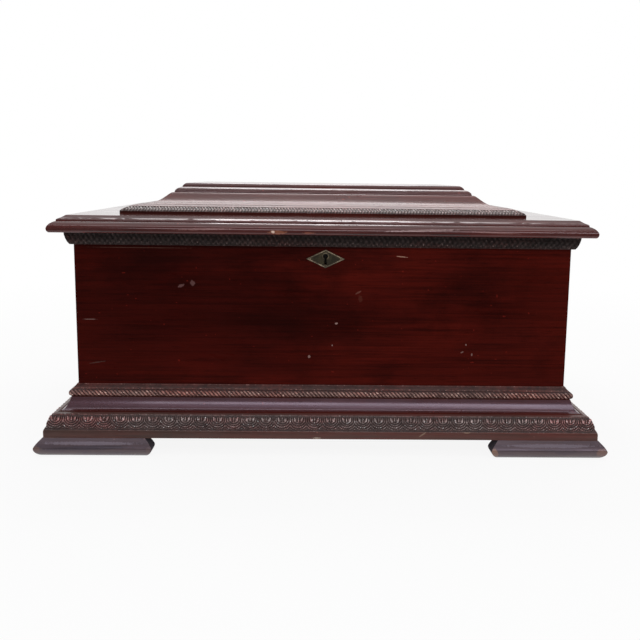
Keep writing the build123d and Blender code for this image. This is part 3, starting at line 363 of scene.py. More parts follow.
# ------------------------------------------------------------------ marks on the front
PALE, DUSTY, DARK_STREAK = (0.42, 0.27, 0.24), (0.20, 0.10, 0.095), (0.020, 0.006, 0.005)
# painted highlight: pale purple-grey for the line of light near the top of each front foot
FOOT_HIGHLIGHT = (0.22, 0.185, 0.220)


def front_marks(deep, *rows):
    """Marks that reach in by the depth given.

    Each row is x, distance in front of the panel, z, half width, half height, turn, colour, strength.
    """
    return [((x, Y_FRONT - out, z), (half_x, deep, half_z), turn, colour, amount)
            for x, out, z, half_x, half_z, turn, colour, amount in rows]


PANEL_MARKS = front_marks(
    0.01,
    (-0.1840, 0.0, 0.2150, 0.0048, 0.0020, 0.35, DUSTY, 0.6),
    (-0.1695, 0.0, 0.2185, 0.0034, 0.0038, 0.3, DUSTY, 0.55),
    (0.1000, 0.0, 0.2553, 0.0085, 0.0007, -0.10, (0.45, 0.25, 0.18), 0.9),
    (0.0170, 0.0, 0.1672, 0.0022, 0.0013, 0.0, PALE, 0.8),
    (-0.0180, 0.0, 0.1230, 0.0016, 0.0022, 0.0, PALE, 0.55),
    (0.0120, 0.0, 0.1380, 0.0008, 0.0012, 0.0, PALE, 0.7),
    (0.0450, 0.0, 0.2080, 0.0050, 0.0012, 0.5, (0.20, 0.08, 0.06), 0.6),
    (0.0480, 0.0, 0.2000, 0.0030, 0.0050, 0.2, (0.11, 0.03, 0.02), 0.5),
    (0.1880, 0.0, 0.1400, 0.0010, 0.0014, 0.0, PALE, 0.6),
    (0.1830, 0.0, 0.1300, 0.0026, 0.0010, 0.4, PALE, 0.4),
    (0.1960, 0.0, 0.1270, 0.0012, 0.0018, 0.0, PALE, 0.45),
    (-0.2350, 0.0, 0.2635, 0.0700, 0.0005, 0.0, (0.12, 0.06, 0.045), 0.6),
    (-0.3020, 0.0, 0.1700, 0.0100, 0.0006, 0.0, PALE, 0.4),
    (-0.2950, 0.0, 0.1130, 0.0120, 0.0008, 0.15, (0.10, 0.07, 0.06), 0.5))
LID_MARKS = front_marks(
    0.02,
    (-0.0583, 0.026, 0.2866, 0.0130, 0.0026, 0.0, (0.26, 0.085, 0.042), 0.9),
    (-0.0644, 0.026, 0.2870, 0.0024, 0.0015, 0.0, (0.80, 0.60, 0.48), 1.0),
    (-0.0200, 0.027, 0.2862, 0.0090, 0.0012, 0.0, (0.24, 0.07, 0.04), 0.8),
    # the next three rows are painted highlight lines along the lid's nose
    (0.1200, 0.026, 0.2905, 0.0500, 0.0012, 0.03, (0.36, 0.24, 0.23), 0.75),
    (0.2150, 0.026, 0.2890, 0.0350, 0.0011, -0.03, (0.24, 0.12, 0.11), 0.6),
    (-0.1500, 0.026, 0.2895, 0.0420, 0.0012, 0.03, (0.26, 0.13, 0.12), 0.6),
    # the next three rows are darker streaks along the lid's lower edge
    (0.0450, 0.026, 0.2850, 0.0260, 0.0010, 0.0, DARK_STREAK, 0.8),
    (0.1550, 0.026, 0.2858, 0.0300, 0.0012, 0.0, DARK_STREAK, 0.8),
    (-0.2600, 0.026, 0.2855, 0.0450, 0.0010, 0.0, DARK_STREAK, 0.7))
FOOT_MARKS = front_marks(
    0.02,
    (0.2215, 0.046, 0.007, 0.0048, 0.0095, 0.55, (0.30, 0.165, 0.095), 0.85),
    (0.3620, 0.046, 0.008, 0.0085, 0.0065, 0.0, (0.24, 0.125, 0.075), 0.65),
    (-0.364, 0.046, 0.009, 0.0055, 0.0050, 0.0, (0.18, 0.105, 0.070), 0.6),
    (-0.222, 0.046, 0.008, 0.0030, 0.0060, 0.0, (0.16, 0.100, 0.070), 0.4),
    # the next two rows are painted highlight lines near the top of the front feet
    (-0.296, 0.042, 0.0165, 0.0640, 0.0021, 0.0, FOOT_HIGHLIGHT, 0.65),
    (0.2950, 0.042, 0.0165, 0.0640, 0.0021, 0.0, FOOT_HIGHLIGHT, 0.55),
    # the next two rows are painted shade, a dark band across the middle of the front feet below the painted
    # highlight
    (-0.300, 0.046, 0.0115, 0.0560, 0.0028, 0.03, (0.026, 0.020, 0.024), 0.7),
    (0.3000, 0.046, 0.011, 0.0400, 0.0016, -0.05, (0.045, 0.032, 0.032), 0.5))
PLINTH_MARKS = front_marks(
    0.02,
    (0.187, 0.036, 0.0325, 0.0050, 0.0022, 0.0, (0.34, 0.22, 0.15), 0.7),
    (0.129, 0.037, 0.0285, 0.0060, 0.0010, 0.6, (0.40, 0.28, 0.20), 0.6),
    (-0.080, 0.036, 0.035, 0.0300, 0.0006, 0.05, (0.36, 0.24, 0.18), 0.7),
    (-0.007, 0.037, 0.0235, 0.0060, 0.0010, 0.0, (0.50, 0.40, 0.32), 0.8))

# ------------------------------------------------------------------ the materials; woods go from deep to glow
PANEL = ((0.027, 0.0024, 0.0014), (0.050, 0.0036, 0.0021), (0.092, 0.0066, 0.0034))
FACE = ((0.050, 0.028, 0.022), (0.088, 0.032, 0.026), (0.165, 0.034, 0.026))
HOLLOW = ((0.036, 0.007, 0.007), (0.060, 0.011, 0.010), (0.090, 0.017, 0.013))
face = dict(spec=0.3, haze=0.45, haze_colour=(0.105, 0.075, 0.062), wear=0.9, wear_colour=(0.32, 0.17, 0.11))
hollow = dict(spec=0.9, rough=(0.20, 0.34), haze=0.45, coat=0.3, haze_colour=(0.105, 0.052, 0.058),
              tint=(0.88, 0.72, 0.95))
materials = {
    "panel_x": polished_wood("mahogany_panel", "X", *PANEL, spec=0.04, marks=PANEL_MARKS),
    "panel_y": polished_wood("mahogany_side", "Y", *PANEL, spec=0.04, offset=(2, 3, 1)),
    "face_x": polished_wood("mahogany_plinth_face", "X", *FACE, marks=PLINTH_MARKS, **face),
    "face_y": polished_wood("mahogany_plinth_side", "Y", *FACE, **face),
    "hollow_x": polished_wood("mahogany_hollow", "X", *HOLLOW, **hollow),
    "hollow_y": polished_wood("mahogany_hollow_side", "Y", *HOLLOW, **hollow),
    "fillet": polished_wood("mahogany_fillet", "X", (0.040, 0.006, 0.004), (0.065, 0.010, 0.007),
                            (0.095, 0.016, 0.011), spec=0.12, rough=(0.5, 0.7)),
    "foot": polished_wood("mahogany_foot", "X", (0.040, 0.018, 0.016), (0.060, 0.031, 0.030),
                          (0.090, 0.044, 0.038), spec=0.8, rough=(0.22, 0.44), haze=0.6,
                          haze_colour=(0.090, 0.074, 0.088), wear=0.9, wear_colour=(0.26, 0.13, 0.07),
                          tint=(0.90, 0.80, 0.98), shade_inner_ends=True, scuff=(0.012, (0.130, 0.090, 0.070)),
                          marks=FOOT_MARKS),
    "lid": polished_wood("mahogany_lid", "X", (0.034, 0.0036, 0.003), (0.058, 0.0066, 0.005),
                         (0.100, 0.012, 0.008), spec=0.5, rough=(0.10, 0.19), wear=0.8, coat=0.25,
                         haze=0.3, haze_colour=(0.120, 0.044, 0.040), wear_colour=(0.24, 0.08, 0.06),
                         tint=(1.0, 0.78, 0.80), marks=LID_MARKS),
    "cove": polished_wood("mahogany_cove", "X", (0.046, 0.005, 0.004), (0.076, 0.009, 0.007),
                          (0.125, 0.016, 0.011), spec=0.75, rough=(0.24, 0.34), wear=0.8,
                          wear_colour=(0.24, 0.08, 0.06), tint=(1.0, 0.80, 0.80)),
    "bevel": carved_wood("stained_bevel", (0.020, 0.006, 0.005), (0.090, 0.032, 0.027),
                         (0.24, 0.130, 0.115), spec=0.3),
    "rope": carved_wood("stained_rope", (0.030, 0.006, 0.005), (0.165, 0.068, 0.058),
                        (0.58, 0.345, 0.295), warm=(1.25, 0.86, 0.82)),
    "leaf": carved_wood("stained_leaf", (0.024, 0.010, 0.009), (0.150, 0.088, 0.080),
                        (0.80, 0.640, 0.620), spec=0.35, rough=(0.28, 0.42), warm=(1.30, 0.80, 0.80)),
    "bead": carved_wood("stained_bead", (0.024, 0.010, 0.009), (0.230, 0.165, 0.155),
                        (0.90, 0.800, 0.780), spec=0.4, rough=(0.32, 0.46), warm=(1.2, 0.9, 0.9)),
    "neck": carved_wood("stained_neck", (0.009, 0.0052, 0.0046), (0.044, 0.029, 0.027),
                        (0.115, 0.084, 0.079), spec=0.12),
    "plate": plate_brass("escutcheon_brass"),
    "raw": raw_wood("secondary_timber", "Y", (0.20, 0.115, 0.055), (0.33, 0.21, 0.11)),
    "brass_old": metal("antique_brass", (0.13, 0.10, 0.050), (0.035, 0.026, 0.012), rough=(0.3, 0.5),
                       metallic=0.7, spots=0.8),
    "brass": metal("gear_brass", (0.78, 0.56, 0.25), (0.50, 0.34, 0.14), rough=(0.18, 0.32)),
    "lock": metal("lock_iron", (0.28, 0.26, 0.24), (0.12, 0.10, 0.085), rough=(0.35, 0.5)),
    "steel": metal("ground_steel", (0.56, 0.56, 0.56), (0.36, 0.35, 0.34), rough=(0.2, 0.34), spots=0.35),
    "nickel": metal("nickel_plate", (0.66, 0.63, 0.58), (0.50, 0.46, 0.40), rough=(0.10, 0.22), spots=0.3),
    "gilt": gilt_paint("gilt_cast_iron"),
    "disc": ringed_metal("tune_disc_steel", DISC_CENTRE, (0.50, 0.50, 0.51), (0.33, 0.31, 0.30)),
    "ebony": polished_wood("ebonised_knob", "Z", (0.012, 0.008, 0.006), (0.02, 0.012, 0.009),
                           (0.03, 0.018, 0.012), spec=0.5, rough=(0.2, 0.3)),
}

# the CAD nodes that are shown; the others are replaced by carved pieces below
LOOKS = {
    "panel_x": ["front_panel", "back_panel"],
    "panel_y": ["left_panel", "right_panel"],
    "foot": ["foot_front_left", "foot_front_right", "foot_rear_left", "foot_rear_right"],
    "lid": ["lid_frame", "lid_top"],
    "cove": ["lid_cove"],
    "raw": ["bottom_board", "bedplate_bearers"],
    "brass_old": ["hinge_case_leaves", "hinge_lid_leaves"],
    "lock": ["lock_case", "lock_bolt", "lock_link_plate"],
    "gilt": ["bedplate", "motor_plate"],
    "brass": ["star_gantry", "spring_barrel", "barrel_cover", "intermediate_wheel", "second_wheel",
              "third_wheel", "governor_fan"],
    "steel": ["comb_front", "comb_rear", "star_wheels", "dampers", "comb_screws", "bedplate_screws",
              "drive_hub", "winding_arbor", "ratchet_wheel", "click", "motor_pillars", "mainspring",
              "roller_inner", "roller_outer"],
    "nickel": ["hold_down_bar", "bar_post", "crank_arm", "stop_lever"],
    "disc": ["disc"],
    "ebony": ["crank_knob"],
}


def paint(obj, look):
    if not obj.material_slots:
        obj.data.materials.append(materials[look])
    for slot in obj.material_slots:
        slot.material = materials[look]


# ------------------------------------------------------------------ mesh helpers
MERGE = 1e-6                    # points nearer than this are one
SHARP = math.radians(50)        # edges that turn more than this stay sharp


def tidy(obj):
    """Merge doubled points, drop flat faces and turn all faces outward."""
    bm = bmesh.new()
    bm.from_mesh(obj.data)
    bmesh.ops.remove_doubles(bm, verts=bm.verts, dist=MERGE)
    bmesh.ops.dissolve_degenerate(bm, dist=MERGE, edges=bm.edges)
    bmesh.ops.delete(bm, geom=[v for v in bm.verts if not v.link_faces], context="VERTS")
    bmesh.ops.recalc_face_normals(bm, faces=bm.faces)
    for edge in bm.edges:
        edge.smooth = len(edge.link_faces) != 2 or edge.calc_face_angle(0.0) < SHARP
    for face in bm.faces:
        face.smooth = True
    bm.to_mesh(obj.data)
    bm.free()


def add_piece(name, verts, faces, tone, looks, which=()):
    """A mesh object. Tone is each point's carve value, and which says which of the looks each face has."""
    mesh = bpy.data.meshes.new(name)
    mesh.from_pydata(verts.reshape(-1, 3).tolist(), [], faces)
    mesh.attributes.new("carve", "FLOAT", "POINT").data.foreach_set("value", tone.reshape(-1))
    for look in looks:
        mesh.materials.append(materials[look])
    if which:
        mesh.polygons.foreach_set("material_index", which)
    obj = bpy.data.objects.new(name, mesh)
    bpy.context.scene.collection.objects.link(obj)
    tidy(obj)
    return obj


# ------------------------------------------------------------------ moulding sections
def smooth_curve(points, count=30):
    """Catmull-Rom curve through a few section points."""
    pts = [np.array(p, float) for p in points]
    pts = [2 * pts[0] - pts[1]] + pts + [2 * pts[-1] - pts[-2]]
    out = []
    for a, b, c, d in zip(pts, pts[1:], pts[2:], pts[3:]):
        for t in np.linspace(0, 1, count, endpoint=False):
            out.append(tuple(0.5 * (2 * b + (c - a) * t + (2 * a - 5 * b + 4 * c - d) * t**2
                                    + (3 * b - a - 3 * c + d) * t**3)))
    return out + [tuple(pts[-2])]


class Section:
    """A moulding's section, made of zones from the bottom up.

    A zone is a label, its line in mm (out beyond the panel face, height) and the spacing of its points.
    Zone has the label of each point and v its place within the zone, from 0 to 1.
    """

    def __init__(self, zones):
        points, self.zone, self.v = [], [], []
        for label, run, step in zones:
            line = np.array(run, float) * MM
            lengths = np.r_[0, np.cumsum(np.hypot(*np.diff(line, axis=0).T))]
            count = max(1, int(round(lengths[-1] / (step * MM)))) + 1
            at = np.linspace(0, lengths[-1], count)
            block = np.c_[np.interp(at, lengths, line[:, 0]), np.interp(at, lengths, line[:, 1])]
            start = 1 if points else 0
            points += block[start:].tolist()
            self.zone += [label] * (count - start)
            self.v += (at[start:] / lengths[-1]).tolist()
        self.points = np.array(points)
        self.zone = np.array(self.zone)
        self.v = np.array(self.v)
        tangent = np.gradient(self.points, axis=0)
        self.normal = np.c_[tangent[:, 1], -tangent[:, 0]]
        self.normal /= np.linalg.norm(self.normal, axis=1)[:, None]


ROPE = Section([
    ("low", [(7.2, 68.5), (7.2, 69.5)], 1.0),
    ("carved", smooth_curve([(7.2, 69.5), (9.8, 71.5), (10.45, 74.3), (9.8, 76.8), (7.7, 78.4)]), 0.55),
    ("top", [(7.7, 78.4), (6.5, 79.2)] + smooth_curve([(6.5, 79.2), (3.6, 82.0), (1.5, 85.0)]), 1.3)])
PLINTH = Section([
    ("face", [(37.5, 22.0), (37.5, 30.0)], 4.0),
    ("face", smooth_curve([(37.5, 30.0), (36.9, 32.0)]), 1.0),
    ("carved", smooth_curve([(36.9, 32.0), (36.0, 33.7), (34.0, 36.5)]) + [(34.0, 38.5)] + smooth_curve(
        [(34.0, 38.5), (33.6, 40.5), (31.9, 44.3), (29.3, 48.3), (27.0, 51.0)]), 0.6),
    ("ledge", [(27.0, 51.0), (22.0, 52.0)], 2.5),
    ("fillet", [(22.0, 52.0), (18.4, 53.0)], 2.0),
    ("hollow", smooth_curve([(18.4, 53.0), (14.8, 54.8), (11.8, 59.1), (9.6, 63.3), (8.0, 68.5)]), 1.2)])
NECK = Section([
    ("low", [(1.5, 267.0), (4.4, 267.4)], 1.5),
    ("carved", smooth_curve([(4.4, 267.4), (6.8, 271.2), (8.5, 275.6), (9.6, 280.2), (9.8, 283.0)]), 0.7)])
STAGE = Section([
    ("low", [(-48.7, 304.5), (-48.7, 308.0)], 1.2),
    ("carved", smooth_curve([(-48.7, 308.0), (-50.6, 310.0), (-53.3, 311.6), (-60.0, 314.5)]), 0.55),
    ("rise", smooth_curve([(-60.0, 314.5), (-65.0, 316.0), (-70.0, 317.0)]), 1.5)])
SINK = -100.0       # where the hidden back of the lid's step lies, mm
BACK_TONE = 0.5     # carve value of hidden points
# Plain zones with a carved look get bands across them: the pale bands are painted highlight lines, the dark
# ones painted shade.
PLAIN_LIGHT_AND_SHADE = ([0, 0.10, 0.18, 0.28, 0.38, 0.85, 0.93, 1.0],     # v in a zone without relief
              [0.05, 0.05, 0.85, 0.80, 0.40, 0.38, 0.9, 0.7])   # and its carve value

# ------------------------------------------------------------------ relief of the carved zones
# Each takes the run along the strip in metres and v across the zone, and gives height in metres and tone.
# Tone is low in the cuts and high on raised parts: partly dirt and rubbing, partly painted shade and
# highlight.


def bump_at(x, centre, width):
    return np.exp(-(((x - centre) / width) ** 2))


def wave(x, pitch=1.0):
    return np.cos(2 * np.pi * x / pitch)


def borders(v, width):
    """0 at the two edges of the zone and 1 inside them."""
    return np.clip(np.minimum(v, 1 - v) / width, 0, 1)


def rope_relief(run, v):
    """Slanting strands laid round the bead."""
    pitch, slant, depth = 0.0051, 1.85, 0.0017
    swell = np.sqrt(np.clip(np.sin(np.pi * v), 0, 1))
    strand = np.abs(np.sin(np.pi * (run / pitch + slant * v))) ** 0.8
    return swell * (strand - 0.85) * depth, np.clip(1.15 * swell * strand - 0.1, 0, 1)


def leaf_relief(run, v):
    """Three small eggs to a motif among upright strokes, hanging over rippled lunettes."""
    motif, band, depth = 0.0208, 0.0215, 0.0013
    stroke_pitch, ripple_pitch, comb_pitch = 0.00260, 0.0029, 0.0029
    egg_z, lunette_z, comb_z = 0.0022, 0.0040, -0.0075
    width = motif * (np.mod(run / motif, 1.0) - 0.5)
    height = (v - 0.60) * band
    eggs = sum(size * np.sqrt(np.clip(1 - ((width - c - 0.22 * np.sign(c) * height) / (0.00108 * size)) ** 2
                                      - ((height - egg_z) / 0.0031) ** 2, 0, 1))
               for c, size in ((-0.0040, 1.0), (0.0, 0.75), (0.0040, 1.0)))
    strokes = np.clip(0.3 + wave(width, stroke_pitch), 0, 1) * bump_at(height, egg_z, 0.0032)
    ripple = np.clip(0.20 + 0.9 * wave(np.hypot(width / 0.95, height - lunette_z), ripple_pitch), 0, 1)
    ripple *= np.clip((0.0015 - height) / 0.0015, 0, 1) * np.clip((height + 0.0120) / 0.0025, 0, 1)
    ripple *= 0.80 + 0.20 * np.cos(26 * np.arctan2(width, height - lunette_z))
    comb = np.clip(0.3 + wave(run + 0.8 * np.abs(height), comb_pitch), 0, 1) * bump_at(height, comb_z, 0.0030)
    body = 1.3 * eggs + 0.8 * strokes + 0.9 * ripple + 0.4 * comb
    tone = 0.10 + 1.1 * eggs + 0.62 * strokes + 0.62 * ripple + 0.3 * comb
    return borders(v, 0.05) * (body - 0.7) * depth, np.clip(np.where(v > 0.93, 0.5, tone), 0, 1)


def bead_relief(run, v):
    """Two rows of small leaves that lean against each other, with a painted highlight along the top edge."""
    pitch, slant, depth = 0.0041, 0.9, 0.0015
    upper = np.clip(0.45 + 0.95 * wave(run / pitch + slant * v), 0, 1) * bump_at(v, 0.70, 0.24)
    lower = np.clip(0.45 + 0.95 * wave(run / pitch - slant * v + 0.4), 0, 1) * bump_at(v, 0.24, 0.20)
    body = (upper + 0.8 * lower) * (0.80 + 0.20 * wave(run, 0.0123))
    # the last term is a painted highlight along the band's top edge
    tone = 0.10 + 0.90 * body + 0.35 * bump_at(v, 0.98, 0.05)
    return borders(v, 0.05) * (body - 0.6) * depth, np.clip(tone, 0, 1)


def tongue_relief(run, v):
    """Faint crossing leaves, a row of teeth below them and a bored dot in every other leaf."""
    band, depth, dot_pitch, dot_z, teeth_z = 0.0185, 0.0011, 0.0076, 0.0050, -0.0050
    height = (v - 0.5) * band
    lean = wave(run + 0.5 * height, 0.0060)
    back = wave(run - 0.7 * height, 0.0076)
    teeth = np.clip(wave(run, 0.0031), 0, 1) * bump_at(height, teeth_z, 0.0026)
    width = dot_pitch * (np.mod(run / dot_pitch, 1.0) - 0.5)
    dot = bump_at(np.hypot(width / 0.0012, (height - dot_z) / 0.0016), 0, 1.0)
    body = 0.5 + 0.22 * lean + 0.22 * back + 0.5 * teeth - 0.8 * dot
    tone = 0.38 + 0.13 * lean + 0.13 * back + 0.3 * teeth - 0.4 * dot
    return borders(v, 0.06) * (body - 0.7) * depth, np.clip(tone, 0, 1)


# ------------------------------------------------------------------ carved strips
MITRE_CALM, MITRE_FADE = 0.0012, 0.0030
TINY = 1e-9


def place(side, run, out):
    """World x and y of a point on one side: run along the side, out beyond the panel face."""
    if side == "front":
        return run, Y_FRONT - out
    if side == "back":
        return run, Y_BACK + out
    edge = HALF_W + out
    return (-edge if side == "left" else edge), run


def ends(side, out, ring):
    """First and last run on one side, at a distance out: on the mitres, or at the back of the case."""
    if side in ("front", "back"):
        return -(HALF_W + out), HALF_W + out
    return Y_FRONT - out, (Y_BACK + out if ring else Y_BACK)


def carved_strip(name, side, body, section, relief, step, back, looks, ring=False):
    """Solid moulding on one side of the case; relief(run, v) carves its zone named carved.

    Step is the spacing of the rows of points along it, back how far out its hidden back lies, in mm,
    and looks the look of each zone. A ring goes round the back too, and has a mitre at each corner. The
    relief fades out over MITRE_FADE and is level over the last MITRE_CALM before a mitre, so that the
    strips meet and close cleanly.
    """
    points, normal = section.points, section.normal
    first, last = ends(side, points[:, 0].max() + 0.002, ring)
    runs = np.arange(math.floor(first / step), math.ceil(last / step) + 1)[:, None] * step

    # relief, from a run that stops short of the mitres
    first, last = ends(side, points[None, :, 0] - MITRE_CALM, ring)
    calm = np.clip(runs, first, last)
    room = calm - first
    if ring or side in ("front", "back"):
        room = np.minimum(room, last - calm)
    height, tone = relief(calm, np.broadcast_to(section.v, calm.shape))
    height = height * np.clip(room / MITRE_FADE, 0, 1)
    carved = (section.zone == "carved")[None, :]
    height = np.where(carved, height, 0.0)
    tone = np.where(carved, tone, np.interp(section.v, *PLAIN_LIGHT_AND_SHADE)[None, :])
    out = points[None, :, 0] + normal[None, :, 0] * height
    up = points[None, :, 1] + normal[None, :, 1] * height

    # two hidden points close each row, and the rows are cut off on the mitres
    rows = len(runs)
    out = np.concatenate([out, np.full((rows, 2), back * MM)], axis=1)
    up = np.concatenate([up, np.array([[points[-1, 1], points[0, 1]]]).repeat(rows, 0)], axis=1)
    tone = np.concatenate([tone, np.full((rows, 2), BACK_TONE)], axis=1)
    run = np.clip(runs, *ends(side, out, ring))
    verts = np.stack([*place(side, run, out), up], axis=2)

    # faces between the rows, apart from those that the cut made flat, and a cap at each end
    cols = run.shape[1]
    index = np.arange(rows * cols).reshape(rows, cols)
    here, there = index[:-1], index[1:]
    quads = np.stack([here, np.roll(here, -1, 1), np.roll(there, -1, 1), there], axis=2).reshape(-1, 4)
    moved = np.abs(run[1:] - run[:-1])
    alive = ((moved > TINY) | (np.roll(moved, -1, 1) > TINY)).reshape(-1)
    faces = quads[alive].tolist() + [index[0].tolist(), index[-1][::-1].tolist()]
    labels = list(looks)
    column = [labels.index(section.zone[min(i + 1, len(section.zone) - 1)]) for i in range(cols)]
    which = np.tile(np.array(column), rows - 1)[alive].tolist() + [0, 0]
    obj = add_piece(name, verts, faces, tone, looks.values(), which)
    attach(obj, body)
    return obj


def add_carvings():
    for side in ("front", "left", "right"):
        rope = carved_strip("rope_carving_" + side, side, "case", ROPE, rope_relief, 0.00055, 0.0,
                            {"low": "fillet", "carved": "rope", "top": "bevel"})
        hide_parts("rope_" + side)
        neck = carved_strip("neck_carving_" + side, side, "case", NECK, tongue_relief, 0.0008, 0.0,
                            {"low": "neck", "carved": "neck"})
        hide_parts("neck_" + side)
        wood = "x" if side == "front" else "y"
        plinth = carved_strip("plinth_carving_" + side, side, "case", PLINTH, leaf_relief, 0.0007, 0.0,
                              {"face": "face_" + wood, "carved": "leaf", "ledge": "face_" + wood,
                               "fillet": "fillet", "hollow": "hollow_" + wood})
        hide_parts("plinth_" + side)
    for side in ("front", "back", "left", "right"):
        band = carved_strip("stage_carving_" + side, side, "lid", STAGE, bead_relief, 0.00065, SINK,
                            {"low": "fillet", "carved": "bead", "rise": "cove"}, ring=True)
        if side == "front":
            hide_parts("lid_stage")


# ------------------------------------------------------------------ keyhole plate
EYE_Z, EYE_RADIUS = 0.2550, 0.0033          # round part of the keyhole
SLOT_HALF, SLOT_DROP = 0.0017, 0.0110       # its slot: half width, and reach below the round part's middle
PIN_X, PIN_RADIUS = 0.0195, 0.0011
FIELD, RIM, HAMMER, THICKEST = 0.00062, 0.00042, 0.00010, 0.00115     # heights above the panel
RAYS, RINGS = 240, 41


def add_escutcheon():
    """Diamond keyhole plate: raised rim, lip round the keyhole, two pins and a hammered field."""
    low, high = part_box("escutcheon")
    middle = np.array([(low[0] + high[0]) / 2, (low[2] + high[2]) / 2])
    half = np.array([(high[0] - low[0]) / 2, (high[2] - low[2]) / 2])
    eye = np.array([middle[0], EYE_Z])

    # along each ray from the keyhole's middle: inner is the keyhole's edge, outer the diamond's
    turn = np.linspace(0, 2 * np.pi, RAYS + 1)[:-1]
    ray = np.c_[np.cos(turn), np.sin(turn)]
    side = SLOT_HALF / np.maximum(np.abs(ray[:, 0]), TINY)
    end = SLOT_DROP / np.maximum(-ray[:, 1], TINY)
    inner = np.maximum(EYE_RADIUS, np.where(ray[:, 1] < 0, np.minimum(side, end), 0))
    shift = (eye - middle) / half
    spread = ray / half
    reach = np.linspace(0.0, 0.08, 8001)
    norm = np.abs(shift[0] + reach[None] * spread[:, :1]) + np.abs(shift[1] + reach[None] * spread[:, 1:])
    outer = reach[(norm <= 1.0).sum(1) - 1]
    length = inner[:, None] + (outer - inner)[:, None] * np.linspace(0, 1, RINGS)[None]
    x = eye[0] + ray[:, :1] * length
    z = eye[1] + ray[:, 1:] * length

    # height and tone, from the distances to the diamond's edge and to the keyhole
    edge = (1 - np.abs(x - middle[0]) / half[0] - np.abs(z - middle[1]) / half[1]) * 0.0110
    rim = bump_at(edge, 0.0010, 0.0006)
    collar = bump_at(length - inner[:, None], 0.0006, 0.0005)
    pins = sum(np.sqrt(np.clip(1 - ((x - middle[0] - c) / PIN_RADIUS) ** 2
                               - ((z - middle[1]) / PIN_RADIUS) ** 2, 0, 1)) for c in (-PIN_X, PIN_X))
    hammer = 0.5 + 0.25 * (np.sin(x * 5200 + 2 * np.sin(z * 2900)) + np.sin(z * 4700 + 2 * np.sin(x * 3100)))
    rise = FIELD + RIM * np.maximum(rim, np.maximum(collar, pins)) + HAMMER * hammer
    rise = np.minimum(rise, THICKEST) * np.clip((edge + 0.0006) / 0.0010, 0.3, 1)
    tone = np.clip(0.18 + 0.75 * rim + 0.45 * collar + 0.6 * pins + 0.2 * hammer, 0, 1)

    # rings of points over the front, then round the back at the panel
    front = np.stack([x, Y_FRONT - rise, z], axis=2).transpose(1, 0, 2)
    back = np.stack([x[:, [-1, 0]], np.full((RAYS, 2), Y_FRONT), z[:, [-1, 0]]], axis=2).transpose(1, 0, 2)
    index = np.arange((RINGS + 2) * RAYS).reshape(RINGS + 2, RAYS)
    wrap = np.roll(index, -1, 1)
    quads = np.stack([index, wrap, np.roll(wrap, -1, 0), np.roll(index, -1, 0)], axis=2).reshape(-1, 4)
    plate = add_piece("keyhole_plate", np.concatenate([front, back]), quads.tolist(),
                      np.concatenate([tone.T, np.full((2, RAYS), 0.2)]), ["plate"])
    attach(plate, "case")
    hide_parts("escutcheon")


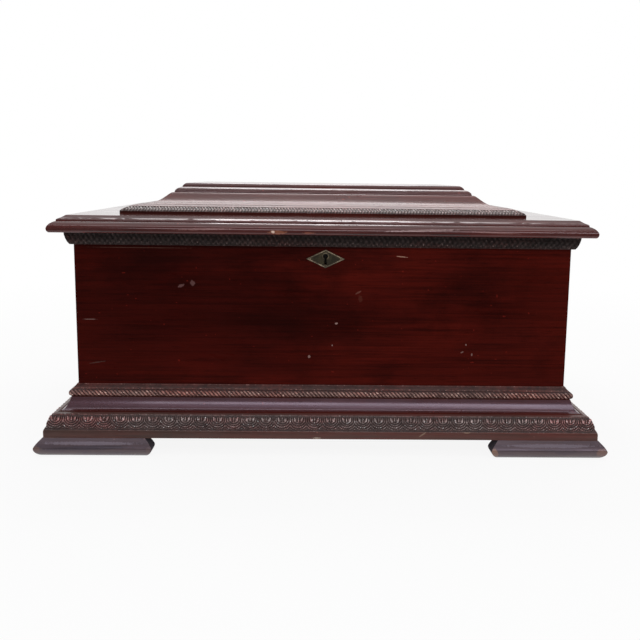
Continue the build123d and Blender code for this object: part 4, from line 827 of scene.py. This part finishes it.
# ------------------------------------------------------------------ floor, light and world
def add_stage():
    """A large pale floor with the object's shadow near it, plain white away from it.

    Mirrored in the object it is white behind and beside it, and dim in front.
    """
    mesh = bpy.data.meshes.new("floor")
    mesh.from_pydata([(-60, -60, 0), (60, -60, 0), (60, 60, 0), (-60, 60, 0)], [], [(0, 1, 2, 3)])
    floor = bpy.data.objects.new("floor", mesh)
    bpy.context.scene.collection.objects.link(floor)
    t = Material("pale_floor")
    t.finish((0.72, 0.72, 0.72), 0.9, Specular_IOR_Level=0.0)
    ray_is = t.node("ShaderNodeLightPath").outputs
    white = t.node("ShaderNodeEmission", Color=(1.0, 1.0, 1.0, 1.0))
    front = t.fade(t.part("Y", t.coord), -0.75, -0.35, 0.14, 1.0)
    t.feed(white.inputs["Strength"], t.math("MAXIMUM", ray_is["Is Camera Ray"], front))
    far = t.fade(t.vector("LENGTH", t.coord), 0.55, 1.9, 0.90, 1.0)
    lift = t.math("MULTIPLY", ray_is["Is Camera Ray"], far)
    mirrored = t.math("MAXIMUM", ray_is["Is Glossy Ray"], ray_is["Is Transmission Ray"])
    blend = t.node("ShaderNodeMixShader")
    t.feed(blend.inputs["Fac"], t.math("MAXIMUM", lift, t.math("MULTIPLY", mirrored, 0.95)))
    t.feed(blend.inputs[1], t.bsdf.outputs["BSDF"])
    t.feed(blend.inputs[2], white.outputs["Emission"])
    t.feed(t.tree.nodes["Material Output"].inputs["Surface"], blend.outputs["Shader"])
    mesh.materials.append(t.mat)


def area_light(name, location, target, size, watts, colour=(1, 1, 1)):
    data = bpy.data.lights.new(name, "AREA")
    data.shape = "RECTANGLE"
    data.size, data.size_y = size
    data.energy = watts
    data.color = colour
    lamp = bpy.data.objects.new(name, data)
    lamp.location = location
    aim = Vector(target) - Vector(location)
    lamp.rotation_euler = aim.to_track_quat("-Z", "Y").to_euler()
    bpy.context.scene.collection.objects.link(lamp)


def add_light():
    """Softboxes behind, overhead and in front, in a white room.

    The room is dim high up in front, for light and reflections only: the camera sees white everywhere.
    """
    area_light("back_softbox", (-0.05, 1.30, 1.75), (0.0, -0.1, 0.32), (1.7, 0.75), 12.0)
    area_light("top_softbox", (-0.03, 1.06, 2.07), (0.0, -0.23, 0.29), (0.75, 0.16), 3.6)
    area_light("overhead_strip", (0.0, -0.66, 1.84), (0.0, -0.25, 0.29), (1.6, 0.22), 3.0)
    area_light("front_softbox", (0.35, -2.05, 1.52), (0.0, -0.25, 0.1), (2.2, 0.62), 14.0, (0.98, 0.96, 1.0))
    world = bpy.data.worlds.new("soft_room")
    bpy.context.scene.world = world
    world.use_nodes = True
    w = Graph(world.node_tree, "Generated")
    in_front = w.fade(w.part("Y", w.coord), -0.75, 0.25, 1.0, 0.0)
    above = w.fade(w.part("Z", w.coord), -0.02, 0.06, 0.0, 1.0)
    light = w.fade(w.math("MULTIPLY", in_front, above), 0.0, 1.0, 1.0, 0.2, ease="LINEAR")
    seen = w.node("ShaderNodeLightPath").outputs["Is Camera Ray"]
    background = w.tree.nodes["Background"]
    w.feed(background.inputs["Color"], (1.0, 1.0, 1.0))
    w.feed(background.inputs["Strength"], w.math("MAXIMUM", seen, light))


# ------------------------------------------------------------------ build
add_camera()
for look_name, members in LOOKS.items():
    for member in members:
        paint(nodes[member], look_name)
add_carvings()
add_escutcheon()
add_stage()
add_light()
bpy.context.scene.view_settings.view_transform = "Standard"
